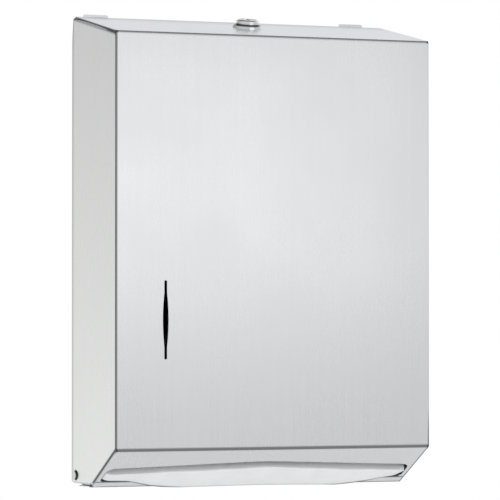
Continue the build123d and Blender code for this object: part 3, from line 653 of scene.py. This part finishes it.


# Lines of painted shade on the wrap, along its bends and edges, over the top's rear and at the left tab's
# foot:
# the place, the axes across it, and where it starts to fade and has faded.
# A start below zero makes a weak line, and a small share of an axis limits its length.
WRAP_SHADE_LINES = {
    "rear bend": (on_cover(0.0, TOP_REAR), ALONG_X, 0.0008, 0.0022),
    "front bend": (on_cover(0.0, TOP_FRONT), ALONG_X, -0.0030, 0.0032),
    "bevel bend": (on_cover(0.0, BEVEL_TOP), ALONG_X, 0.0009, 0.0026),
    "bottom bend": (on_cover(0.0, BOTTOM_FRONT), ALONG_X, 0.0008, 0.0022),
    "slot lip": (on_cover(0.0, LIP_EDGE), ALONG_X, 0.0005, 0.0013),
    "left edge": ((-COVER_HALF, 0.0, 0.0), AT_X, 0.00025, 0.0005),
    "front's left edge": ((-COVER_HALF, BEVEL_TOP[0], 0.0), (1.0, 0.2, 0.0), 0.0007, 0.0016),
    "right edge": ((COVER_HALF, 0.0, 0.0), AT_X, -0.0010, 0.0013),
    "bevel's right edge": (on_cover(COVER_HALF, (0.0, BEVEL_TOP[1] / 2)), (1.0, 0.0, 0.03), 0.0010, 0.0018),
    "top's rear": (on_cover(0.0, (TOP_REAR[0] - 0.0070, TOP_REAR[1])), ALONG_X, -0.0300, 0.0240),
    "front bend's right": (on_cover(COVER_HALF, TOP_FRONT), (0.010, 1.0, 1.0), -0.0010, 0.0022),
    "left tab": (on_cover(TAB_LEFT, TOP_REAR), (0.100, 0.075, 0.0), 0.0001, 0.0016),
}
# The flange under the wrap's left foot is clear of painted shade.
WRAP_CLEAR = [(on_cover(-COVER_HALF, (-0.0360, 0.0)), (0.15, 0.09, 1.0), -0.0002, 0.0022)]
# Painted shade on the side panels: along the rear edge, where it leans, and in the seams. The bottom and
# the webs are clear of it.
PANEL_SHADE_LINES = [
    ((0.0, 0.0, 0.0), AT_Y, -0.0056, 0.0071),
    (on_cover(0.0, (-0.0022, 0.3790)), (0.0, 1.0, 0.08), -0.0040, 0.0052),
    *both_sides((COVER_HALF - 0.0013, 0.0, 0.0), AT_X, 0.00097, 0.0011),
]
PANEL_CLEAR = [
    (on_cover(0.0, (0.0, 0.0)), AT_Z, 0.0030, 0.0040),
    *both_sides(on_cover(COVER_HALF - 0.0002, (-0.0470, 0.3737)), (1.0, 0.022, 0.04), 0.00080, 0.00095),
]
# Shade is painted nearly black at the ends of the bends, and at the feet behind the lowest one.
CORNER_SHADE = both_sides(on_cover(COVER_HALF, (-0.0440, 0.0008)), SPOT, 0.0016, 0.0030)
for bend in (TOP_REAR, TOP_FRONT, BEVEL_TOP, BOTTOM_FRONT):
    CORNER_SHADE += both_sides(on_cover(COVER_HALF, bend), SPOT, 0.0012, 0.0026)
# Painted shade on the back plate: a dark line at the foot of the left tab.
TAB_FOOT_SHADE = [(on_cover(TAB_LEFT, (0.0, 0.3803)), (0.02, 0.0, 1.0), 0.0003, 0.0010)]


class DISPENSER_OT_cover(bpy.types.Operator):
    """Give the folded cover its satin steel, scratched along each sheet's length, with shade painted along
    its bends, edges and seams and at its corners
    """

    bl_idname = "dispenser.cover"
    bl_label = "Cover finish"

    def execute(self, context):
        finish = context.scene.dispenser_steel
        # The wrap gets its lines and corners of painted shade.
        dull, bends = finish.bend_shade_colour, WRAP_SHADE_LINES.values()
        wrap = satin_steel("satin_steel_wrap", finish, 0, dull, bends, CORNER_SHADE, WRAP_CLEAR)
        finish_nodes(["front_wrap"], wrap)
        # The side panels get near-black painted shade in their seams, along their rear edges and at their
        # corners.
        dark = finish.seam_shade_colour
        sides = satin_steel("satin_steel_sides", finish, 1, dark, PANEL_SHADE_LINES, CORNER_SHADE, PANEL_CLEAR)
        finish_nodes(COVER_PANELS, sides)
        return {"FINISHED"}


class DISPENSER_OT_back(bpy.types.Operator):
    """Give the back plate its satin with shade painted at its left tab's foot, and the tray, strike and
    hinge steel their mill finish
    """

    bl_idname = "dispenser.back"
    bl_label = "Back and tray finish"

    def execute(self, context):
        finish = context.scene.dispenser_steel
        # Painted shade: a dark line at the foot of the left tab.
        plate = satin_steel("satin_steel_back", finish, 0, finish.bend_shade_colour, TAB_FOOT_SHADE)
        finish_nodes(["back_plate"], plate)
        finish_nodes(BACK_STEEL, mill_steel("mill_steel_back", finish, 0))
        finish_nodes(HINGE_STEEL, mill_steel("mill_steel_hinge", finish, 1))
        return {"FINISHED"}


class DISPENSER_OT_fasteners(bpy.types.Operator):
    """Give the pins, rivets and hinge washers their finishes, with shade painted on the pins' flanks"""

    bl_idname = "dispenser.fasteners"
    bl_label = "Pins, rivets and washers"

    def execute(self, context):
        finish = context.scene.dispenser_lock
        low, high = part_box("hinge_pin_left")
        centre = (low + high) / 2
        tilt = (0.0, math.pi / 2, 0.0)
        # Painted shade: the pin domes are painted dark on their flanks, outside 2.6 mm from their axis.
        pin = turned_metal("pin_steel", finish.pin_colour, centre, tilt, 0.20, shoulder=0.0026)
        finish_nodes(PINS, pin)
        finish_nodes(RIVETS, turned_metal("rivet_steel", finish.pin_colour, centre, tilt, 0.26))
        finish_nodes(["hinge_washer_left", "hinge_washer_right"], nylon("nylon", finish.washer_colour))
        return {"FINISHED"}


class DISPENSER_OT_lock(bpy.types.Operator):
    """Give the lock its chrome, with a ring of painted shade, and its plug and wafers their nickelled brass
    """

    bl_idname = "dispenser.lock"
    bl_label = "Lock finish"

    def execute(self, context):
        finish = context.scene.dispenser_lock
        hinge = [joint for joint in frame["joints"] if joint["name"] == "lock_turn"][0]
        axis = Vector(hinge["axis"])
        tilt = Vector((0.0, 0.0, 1.0)).rotation_difference(axis).to_euler()
        centre = hinge["pos_m"]
        # Painted shade: a dark ring is painted on the chrome 2.6 mm up its axis, where the boss meets the
        # flange.
        chrome = turned_metal("lock_chrome", finish.chrome_colour, centre, tilt, 0.06, corner=0.0026)
        finish_nodes(LOCK_CHROME, chrome)
        finish_nodes(LOCK_BRASS, turned_metal("lock_brass", finish.plug_colour, centre, tilt, 0.22))
        finish_nodes(["wafer_springs"], turned_metal("spring_steel", finish.pin_colour, centre, tilt, 0.25))
        return {"FINISHED"}


def folded_towel_mesh(low, high, thick):
    """One flat folded towel: a round fold in front, and two folds with a groove between them behind."""
    front, rear = low.y, high.y
    half = thick / 2
    nose = thick * 0.5
    groove = 0.007
    section = [
        (front + nose, 0.0),
        (front + nose * 0.3, half * 0.3),
        (front, half),
        (front + nose * 0.3, half * 1.7),
        (front + nose, thick),
        (rear - nose * 0.5, thick),
        (rear, half * 1.55),
        (rear - nose * 0.4, half * 1.1),
        (rear - groove, half),
        (rear - nose * 0.4, half * 0.9),
        (rear, half * 0.45),
        (rear - nose * 0.5, 0.0),
    ]
    mesh = bpy.data.meshes.new("folded_towel")
    shape = bmesh.new()
    rows = []
    for x in (low.x, low.x * 0.34, high.x * 0.34, high.x):
        rows.append([shape.verts.new((x, y, z)) for y, z in section])
    for first, second in zip(rows, rows[1:]):
        for index in range(len(section)):
            after = (index + 1) % len(section)
            shape.faces.new((first[index], first[after], second[after], second[index]))
    shape.faces.new(rows[0][::-1])
    shape.faces.new(rows[-1])
    bmesh.ops.recalc_face_normals(shape, faces=shape.faces)
    shape.to_mesh(mesh)
    shape.free()
    return mesh


def stack_tree():
    """Geometry nodes that lay one folded towel over another, each a little shifted and turned."""
    inputs = {
        "Towel": "Geometry",
        "Count": "Int",
        "Pitch": "Float",
        "Shift": "Vector",
        "Turn": "Vector",
        "Seed": "Int",
        "Paper": "Material",
    }
    tree, start, end = new_group("towel_layers", inputs, {"Stack": "Geometry"}, "GeometryNodeTree")
    step = add_node(tree, "ShaderNodeCombineXYZ")
    tree.links.new(start.outputs["Pitch"], step.inputs["Z"])
    line = add_node(tree, "GeometryNodeMeshLine", mode="OFFSET")
    tree.links.new(start.outputs["Count"], line.inputs["Count"])
    tree.links.new(step.outputs["Vector"], line.inputs["Offset"])

    def spread(amount, salt):
        """A random vector between minus and plus an amount."""
        flip = add_node(tree, "ShaderNodeVectorMath", operation="SCALE")
        flip.inputs["Scale"].default_value = -1.0
        tree.links.new(amount, flip.inputs[0])
        value = add_node(tree, "FunctionNodeRandomValue", data_type="FLOAT_VECTOR")
        seed = add_node(tree, "ShaderNodeMath", operation="ADD")
        tree.links.new(start.outputs["Seed"], seed.inputs[0])
        seed.inputs[1].default_value = salt
        tree.links.new(flip.outputs["Vector"], value.inputs["Min"])
        tree.links.new(amount, value.inputs["Max"])
        tree.links.new(seed.outputs["Value"], value.inputs["Seed"])
        return value.outputs["Value"]

    turn = add_node(tree, "FunctionNodeEulerToRotation")
    tree.links.new(spread(start.outputs["Turn"], 1), turn.inputs["Euler"])
    towels = add_node(tree, "GeometryNodeInstanceOnPoints")
    tree.links.new(line.outputs["Mesh"], towels.inputs["Points"])
    tree.links.new(start.outputs["Towel"], towels.inputs["Instance"])
    tree.links.new(turn.outputs["Rotation"], towels.inputs["Rotation"])
    moved = add_node(tree, "GeometryNodeTranslateInstances")
    tree.links.new(towels.outputs["Instances"], moved.inputs["Instances"])
    tree.links.new(spread(start.outputs["Shift"], 2), moved.inputs["Translation"])
    real = add_node(tree, "GeometryNodeRealizeInstances")
    tree.links.new(moved.outputs["Instances"], real.inputs["Geometry"])
    paper = add_node(tree, "GeometryNodeSetMaterial")
    tree.links.new(real.outputs["Geometry"], paper.inputs["Geometry"])
    tree.links.new(start.outputs["Paper"], paper.inputs["Material"])
    tree.links.new(paper.outputs["Geometry"], end.inputs["Stack"])
    return tree


def linked(name, data):
    """A new object in the scene."""
    made = bpy.data.objects.new(name, data)
    bpy.context.scene.collection.objects.link(made)
    return made


def evaluated_copy(source, name):
    """A plain mesh object with the source's modifiers worked in, in place of the source."""
    graph = bpy.context.evaluated_depsgraph_get()
    mesh = bpy.data.meshes.new_from_object(source.evaluated_get(graph))
    bpy.data.objects.remove(source)
    return linked(name, mesh)


# Share of the pitch that a towel of the stack fills, and how far it is turned, in radians.
STACK_FILL = 0.96
STACK_TURN = 0.0012


class DISPENSER_OT_stack(bpy.types.Operator):
    """Lay the stack of folded towels on the tray"""

    bl_idname = "dispenser.stack"
    bl_label = "Towel stack"

    def execute(self, context):
        settings = context.scene.dispenser_towels
        low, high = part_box("towel_stack")
        pitch = (high.z - low.z) / settings.stack_count
        shift = settings.stack_shift
        inner_low, inner_high = low + Vector((shift, shift, 0)), high - Vector((shift, shift, 0))
        mesh = folded_towel_mesh(inner_low, inner_high, pitch * STACK_FILL)
        mesh.transform(Matrix.Translation((0.0, 0.0, low.z)))
        source = linked("stack_source", mesh)
        modifier = source.modifiers.new("layers", "NODES")
        modifier.node_group = stack_tree()
        items = modifier.node_group.interface.items_tree
        sockets = {item.name: item.identifier for item in items if item.in_out == "INPUT"}
        paper = towel_paper("stack_paper", settings, object_vector)
        modifier[sockets["Count"]] = settings.stack_count
        modifier[sockets["Pitch"]] = pitch
        modifier[sockets["Shift"]] = (shift, shift, 0.0)
        modifier[sockets["Turn"]] = (0.0, 0.0, STACK_TURN)
        modifier[sockets["Seed"]] = settings.seed
        modifier[sockets["Paper"]] = paper
        stack = evaluated_copy(source, "towels_in_stack")
        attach(stack, "back")
        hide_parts("towel_stack")
        return {"FINISHED"}


# Lower outline of the hanging towel, as (x, height over the cover's bottom).
LEAD_OUTLINE = [
    (-0.1323, 0.0056),
    (-0.1200, 0.0054),
    (-0.1105, 0.0051),
    (-0.1042, 0.0039),
    (-0.0999, 0.0029),
    (-0.0913, 0.0011),
    (-0.0800, 0.0000),
    (-0.0650, -0.0006),
    (-0.0500, -0.0004),
    (0.0000, 0.0001),
    (0.0380, -0.0002),
    (0.0600, -0.0006),
    (0.0717, -0.0009),
    (0.0853, 0.0002),
    (0.0989, 0.0017),
    (0.1126, 0.0039),
    (0.1263, 0.0055),
    (0.1300, 0.0056),
]


def curve(corners, count):
    """Points along a cubic curve."""
    t = np.linspace(0.0, 1.0, count)[:, None]
    a, b, c, d = np.array(corners)
    return (1 - t) ** 3 * a + 3 * (1 - t) ** 2 * t * b + 3 * (1 - t) * t**2 * c + t**3 * d


# Heights over the cover's bottom: the towel stays with the tray above one, and is drawn below the other.
LEAD_TOP = 0.0324
# Its upright part lies this far before the slot's lower edge, and its fold a little less.
ROOT_INSET = 0.0080
FOLD_INSET = 0.0030
# The fold comes forward by this much where it rises from its lowest.
FOLD_FORWARD = 0.0006
FOLD_LOWEST = -0.0016
FOLD_RISE = 0.0070
# Its ridge lies behind and below the slot's upper edge, and comes forward at the right end.
RIDGE_BACK = 0.0050
RIDGE_DROP = 0.0052
RIGHT_FORWARD = 0.0022
RIGHT_START = 0.112
RIGHT_REACH = 0.014
# Waves of the ridge along x: size, turn for each metre and start.
RIDGE_WAVES = [(0.0004, 61.0, 0.7), (0.0003, 143.0, 0.0)]
# The right end lies on a slant from this x on, by (height, shift along x).
SLANT_START = 0.1050
RIGHT_SLANT = [(0.0055, -0.0044), (0.0105, 0.0012), (0.0180, 0.0036)]
# The left end curls into the slot from this x on, by (height, depth).
CURL_START = -0.1240
LEFT_CURL = [(0.0180, 0.0023), (0.0300, 0.0)]
# How strongly shadow is painted along the fold, as (x, weight).
FOLD_WEIGHT = [(-0.080, 1.0), (-0.060, 0.3), (0.060, 0.3), (0.080, 1.0)]
# Columns of the sheet, and points on a curve and on the crease.
LEAD_COLUMNS = 121
PATH_POINTS = 24
CREASE_POINTS = 9


def lead_path(x):
    """Side view of the hanging towel's front layer at one x, from the tray down to its fold."""
    edge = SLOT_APEX + SLOT_FALL * (abs(x) / SLOT_HALF)
    corner = min(1.0, max(0.0, (x - RIGHT_START) / RIGHT_REACH))
    wave = sum(size * math.sin(x * turn + start) for size, turn, start in RIDGE_WAVES)
    ridge_y = BEVEL_TOP[0] + edge * BEVEL_STEP[0] + RIDGE_BACK - RIGHT_FORWARD * corner + wave
    ridge_z = BEVEL_TOP[1] + edge * BEVEL_STEP[1] - RIDGE_DROP + 0.5 * wave
    low = float(np.interp(x, *zip(*LEAD_OUTLINE)))
    lip = BEVEL_TOP[0] + SLOT_LOW * BEVEL_STEP[0]
    root = lip - ROOT_INSET
    risen = min(1.0, max(0.0, (low - FOLD_LOWEST) / FOLD_RISE))
    rear = lip - FOLD_INSET - FOLD_FORWARD * risen
    upper = [
        (root, LEAD_TOP),
        (root, ridge_z + 0.0100),
        (ridge_y + 0.0055, ridge_z + 0.0060),
        (ridge_y, ridge_z),
    ]
    third_y, third_z = (rear - ridge_y) / 3, (low - ridge_z) / 3
    lower = [
        (ridge_y, ridge_z),
        (ridge_y + third_y - 0.0006, ridge_z + third_z - 0.0006),
        (ridge_y + 2 * third_y - 0.0010, ridge_z + 2 * third_z - 0.0008),
        (rear, low),
    ]
    above, below = curve(upper, PATH_POINTS), curve(lower, PATH_POINTS)
    crease = curve([above[-3], (ridge_y, ridge_z), (ridge_y, ridge_z), below[2]], CREASE_POINTS)
    return np.concatenate([above[:-3], crease, below[3:]])


def lead_section(x, gap):
    """Both layers of the hanging towel at one x, joined by the round fold at the bottom."""
    front = lead_path(x)
    step = np.gradient(front, axis=0)
    step /= np.linalg.norm(step, axis=1)[:, None]
    normal = np.stack([-step[:, 1], step[:, 0]], axis=1)
    rear = front + normal * gap
    centre = (front[-1] + rear[-1]) / 2
    across = (front[-1] - rear[-1]) / 2
    down = step[-1] * gap / 2
    turns = np.linspace(0.0, math.pi, 7)[1:-1, None]
    fold = centre + across * np.cos(turns) + down * np.sin(turns)
    return np.concatenate([front, fold, rear[::-1]])


def lead_points(x, section, settings):
    """Places of a section's points, with the left end curled in and the right end on a slant."""
    y, z = section.T
    share = np.interp(x, (SLANT_START, settings.lead_right), (0.0, 1.0))
    slant = share * np.interp(z, *zip(*RIGHT_SLANT))
    share = np.interp(x, (settings.lead_left, CURL_START), (1.0, 0.0)) ** 3
    curl = share * np.interp(z, *zip(*LEFT_CURL))
    y, z = y - curl * BEVEL_STEP[1], z + curl * BEVEL_STEP[0]
    return np.stack([x + slant, y, z + COVER_BOTTOM], axis=1)


def run_lengths(points):
    """Distance of each point along a path from the first."""
    return np.concatenate([[0.0], np.cumsum(np.linalg.norm(np.diff(points, axis=0), axis=1))])


class DISPENSER_OT_lead(bpy.types.Operator):
    """Hang the folded lead towel through the tray and the slot"""

    bl_idname = "dispenser.lead"
    bl_label = "Lead towel"

    def execute(self, context):
        settings = context.scene.dispenser_towels
        places = np.linspace(settings.lead_left, settings.lead_right, LEAD_COLUMNS)
        sections = [lead_section(x, settings.fold_gap) for x in places]
        shape = bmesh.new()
        sheet = shape.loops.layers.uv.new("towel_sheet")
        edge = shape.loops.layers.uv.new("towel_fold")
        rows = []
        for x, section in zip(places, sections):
            rows.append([shape.verts.new(point) for point in lead_points(x, section, settings)])
        lengths = [run_lengths(section) for section in sections]
        fold = len(sections[0]) // 2
        weights = np.interp(places, *zip(*FOLD_WEIGHT))
        for column in range(len(places) - 1):
            for index in range(len(sections[0]) - 1):
                quad = [(column, index), (column, index + 1), (column + 1, index + 1), (column + 1, index)]
                face = shape.faces.new([rows[i][j] for i, j in quad])
                face.smooth = True
                for loop, (i, j) in zip(face.loops, quad):
                    loop[sheet].uv = (places[i], lengths[i][j])
                    loop[edge].uv = (abs(lengths[i][j] - lengths[i][fold]), weights[i])
        bmesh.ops.recalc_face_normals(shape, faces=shape.faces)
        mesh = bpy.data.meshes.new("lead_towel_sheet")
        shape.to_mesh(mesh)
        shape.free()
        towel = linked("lead_towel_sheet", mesh)
        # The hanging towel's paper has shadow painted along its fold.
        mesh.materials.append(towel_paper("lead_paper", settings, sheet_vector, painted_fold_shadow))
        wall = towel.modifiers.new("ply", "SOLIDIFY")
        wall.thickness = settings.ply
        wall.offset = 0.0
        towel = evaluated_copy(towel, "hanging_towel")
        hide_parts("lead_towel")
        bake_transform(towel)
        return {"FINISHED"}


def aim(thing, target):
    """Turn a camera or lamp towards a point."""
    direction = Vector(target) - thing.location
    thing.rotation_euler = direction.to_track_quat("-Z", "Y").to_euler()


# The soft box before the cover.
KEY_PLACE = (0.35, -1.60, 0.11)
KEY_AIM = (0.0, -0.05, 0.0)
KEY_SIZE = (1.0, 0.42)


def key_lamp(power):
    """Hang the soft box before the cover."""
    light = bpy.data.lights.new("key_lamp", "AREA")
    light.shape = "RECTANGLE"
    light.size, light.size_y = KEY_SIZE
    light.energy = power
    lamp = linked("key_lamp", light)
    lamp.location = KEY_PLACE
    aim(lamp, KEY_AIM)


def blend_values(tree, factor, first, second):
    """Mix two values, each a socket or a number, by a factor and return the output."""
    node = add_node(tree, "ShaderNodeMix", data_type="FLOAT")
    for name, value in (("Factor", factor), ("A", first), ("B", second)):
        feed(tree, node.inputs[name], value)
    return node.outputs["Result"]


def background(tree, colour, strength):
    """Add a background whose colour and strength are sockets or values, and return its output."""
    node = add_node(tree, "ShaderNodeBackground")
    feed(tree, node.inputs["Color"], colour)
    feed(tree, node.inputs["Strength"], strength)
    return node.outputs["Background"]


def mix_shader(tree, factor, first, second):
    """Mix two shaders by a factor and return the output."""
    node = add_node(tree, "ShaderNodeMixShader")
    for socket, value in zip(node.inputs, (factor, first, second)):
        tree.links.new(value, socket)
    return node.outputs["Shader"]


WHITE = (1.0, 1.0, 1.0, 1.0)
# Tint and strength of the mirrored room in front of the object, and behind it to its left and right.
# The left wall has two strengths, low down and high up.
FRONT_TINT = (0.800, 0.800, 0.800)
LEFT_TINT = (0.796, 0.800, 0.774)
RIGHT_TINT = (0.788, 0.788, 0.812)
FRONT_STRENGTH = 0.76
LEFT_STRENGTHS = (1.42, 0.46)
RIGHT_STRENGTH = 1.12
# Shares of that strength below and overhead.
ROOM_SHADES = (1.0, 0.35)
# Ranges of the direction's x, y and z over which these pass into each other.
ACROSS_FADE = (-0.2, 0.2)
DEPTH_FADE = (-0.3, 0.3)
WALL_FADE = (-0.12, 0.25)
OVERHEAD_FADE = (0.55, 0.80)
# The floor: half its width, and its two greys.
FLOOR_HALF = 2.0
FLOOR_DARK = (0.77, 0.77, 0.77)
FLOOR_LIGHT = (0.81, 0.81, 0.81)


def studio_world(room_light):
    """White behind the object, a dimmer room in front and overhead, and an even light for the rest."""
    world = bpy.data.worlds.new("studio")
    bpy.context.scene.world = world
    world.use_nodes = True
    tree = world.node_tree
    tree.nodes.clear()
    output = add_node(tree, "ShaderNodeOutputWorld")
    path = add_node(tree, "ShaderNodeLightPath")
    white = background(tree, WHITE, 1.0)
    even = background(tree, WHITE, room_light)
    direction = add_node(tree, "ShaderNodeTexCoord").outputs["Generated"]
    split = add_node(tree, "ShaderNodeSeparateXYZ")
    tree.links.new(direction, split.inputs["Vector"])
    x, y, z = split.outputs["X"], split.outputs["Y"], split.outputs["Z"]
    rightward = map_range(tree, x, 0.0, 1.0, *ACROSS_FADE)
    backward = map_range(tree, y, 0.0, 1.0, *DEPTH_FADE)
    left_wall = map_range(tree, z, *LEFT_STRENGTHS, *WALL_FADE)
    wall = blend_values(tree, rightward, left_wall, RIGHT_STRENGTH)
    room = blend_values(tree, backward, FRONT_STRENGTH, wall)
    shade = map_range(tree, z, *ROOM_SHADES, *OVERHEAD_FADE)
    sides = mix_colour(tree, rightward, LEFT_TINT, RIGHT_TINT)
    tint = mix_colour(tree, backward, FRONT_TINT, sides)
    mirrored = background(tree, tint, math_node(tree, "MULTIPLY", room, shade))
    sharp = math_node(tree, "MAXIMUM", path.outputs["Is Glossy Ray"], path.outputs["Is Transmission Ray"])
    lit = mix_shader(tree, sharp, even, mirrored)
    seen = mix_shader(tree, path.outputs["Is Camera Ray"], lit, white)
    tree.links.new(seen, output.inputs["Surface"])


class DISPENSER_OT_stage(bpy.types.Operator):
    """Set up the camera, the soft box, the white room and the pale floor"""

    bl_idname = "dispenser.stage"
    bl_label = "Studio"

    def execute(self, context):
        settings = context.scene.dispenser_stage
        lens = bpy.data.cameras.new("photo_camera")
        lens.sensor_width = 36.0
        lens.lens = settings.lens
        camera = linked("photo_camera", lens)
        camera.location = settings.camera_place
        aim(camera, settings.camera_aim)
        context.scene.camera = camera

        key_lamp(settings.key_power)
        studio_world(settings.room_light)

        mesh = bpy.data.meshes.new("floor")
        shape = bmesh.new()
        bmesh.ops.create_grid(shape, x_segments=8, y_segments=8, size=FLOOR_HALF)
        shape.to_mesh(mesh)
        shape.free()
        floor = linked("floor", mesh)
        floor.location.z = CAD_BOX[0].z - settings.floor_drop
        material, tree, shader = new_material("floor_paint")
        cloud = noise(tree, object_vector(tree), 3.0, detail=3.0)
        colour = mix_colour(tree, cloud, FLOOR_DARK, FLOOR_LIGHT)
        tree.links.new(colour, shader.inputs["Base Color"])
        shader.inputs["Roughness"].default_value = 0.9
        mesh.materials.append(material)
        context.scene.view_settings.view_transform = "Standard"
        return {"FINISHED"}


STEPS = [
    DISPENSER_OT_cover,
    DISPENSER_OT_back,
    DISPENSER_OT_fasteners,
    DISPENSER_OT_lock,
    DISPENSER_OT_stack,
    DISPENSER_OT_lead,
    DISPENSER_OT_stage,
]


class DISPENSER_PT_build(bpy.types.Panel):
    """Steps and settings of the towel dispenser"""

    bl_label = "Towel Dispenser"
    bl_idname = "DISPENSER_PT_build"
    bl_space_type = "VIEW_3D"
    bl_region_type = "UI"
    bl_category = "Dispenser"

    def draw(self, context):
        for step in STEPS:
            self.layout.operator(step.bl_idname)
        for group in SETTINGS:
            box = self.layout.box()
            settings = getattr(context.scene, group)
            for name in settings.__annotations__:
                box.prop(settings, name)


SETTINGS = {
    "dispenser_steel": SteelFinish,
    "dispenser_lock": LockFinish,
    "dispenser_towels": TowelSettings,
    "dispenser_stage": StageSettings,
}


def register():
    for name, group in SETTINGS.items():
        bpy.utils.register_class(group)
        setattr(bpy.types.Scene, name, PointerProperty(type=group))
    for item in [*STEPS, DISPENSER_PT_build]:
        bpy.utils.register_class(item)


def unregister():
    for item in [DISPENSER_PT_build, *STEPS[::-1]]:
        bpy.utils.unregister_class(item)
    for name, group in SETTINGS.items():
        delattr(bpy.types.Scene, name)
        bpy.utils.unregister_class(group)


def main():
    """Register the add-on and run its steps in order."""
    register()
    bpy.ops.dispenser.cover()
    bpy.ops.dispenser.back()
    bpy.ops.dispenser.fasteners()
    bpy.ops.dispenser.lock()
    bpy.ops.dispenser.stack()
    bpy.ops.dispenser.lead()
    bpy.ops.dispenser.stage()


if __name__ == "__main__":
    main()
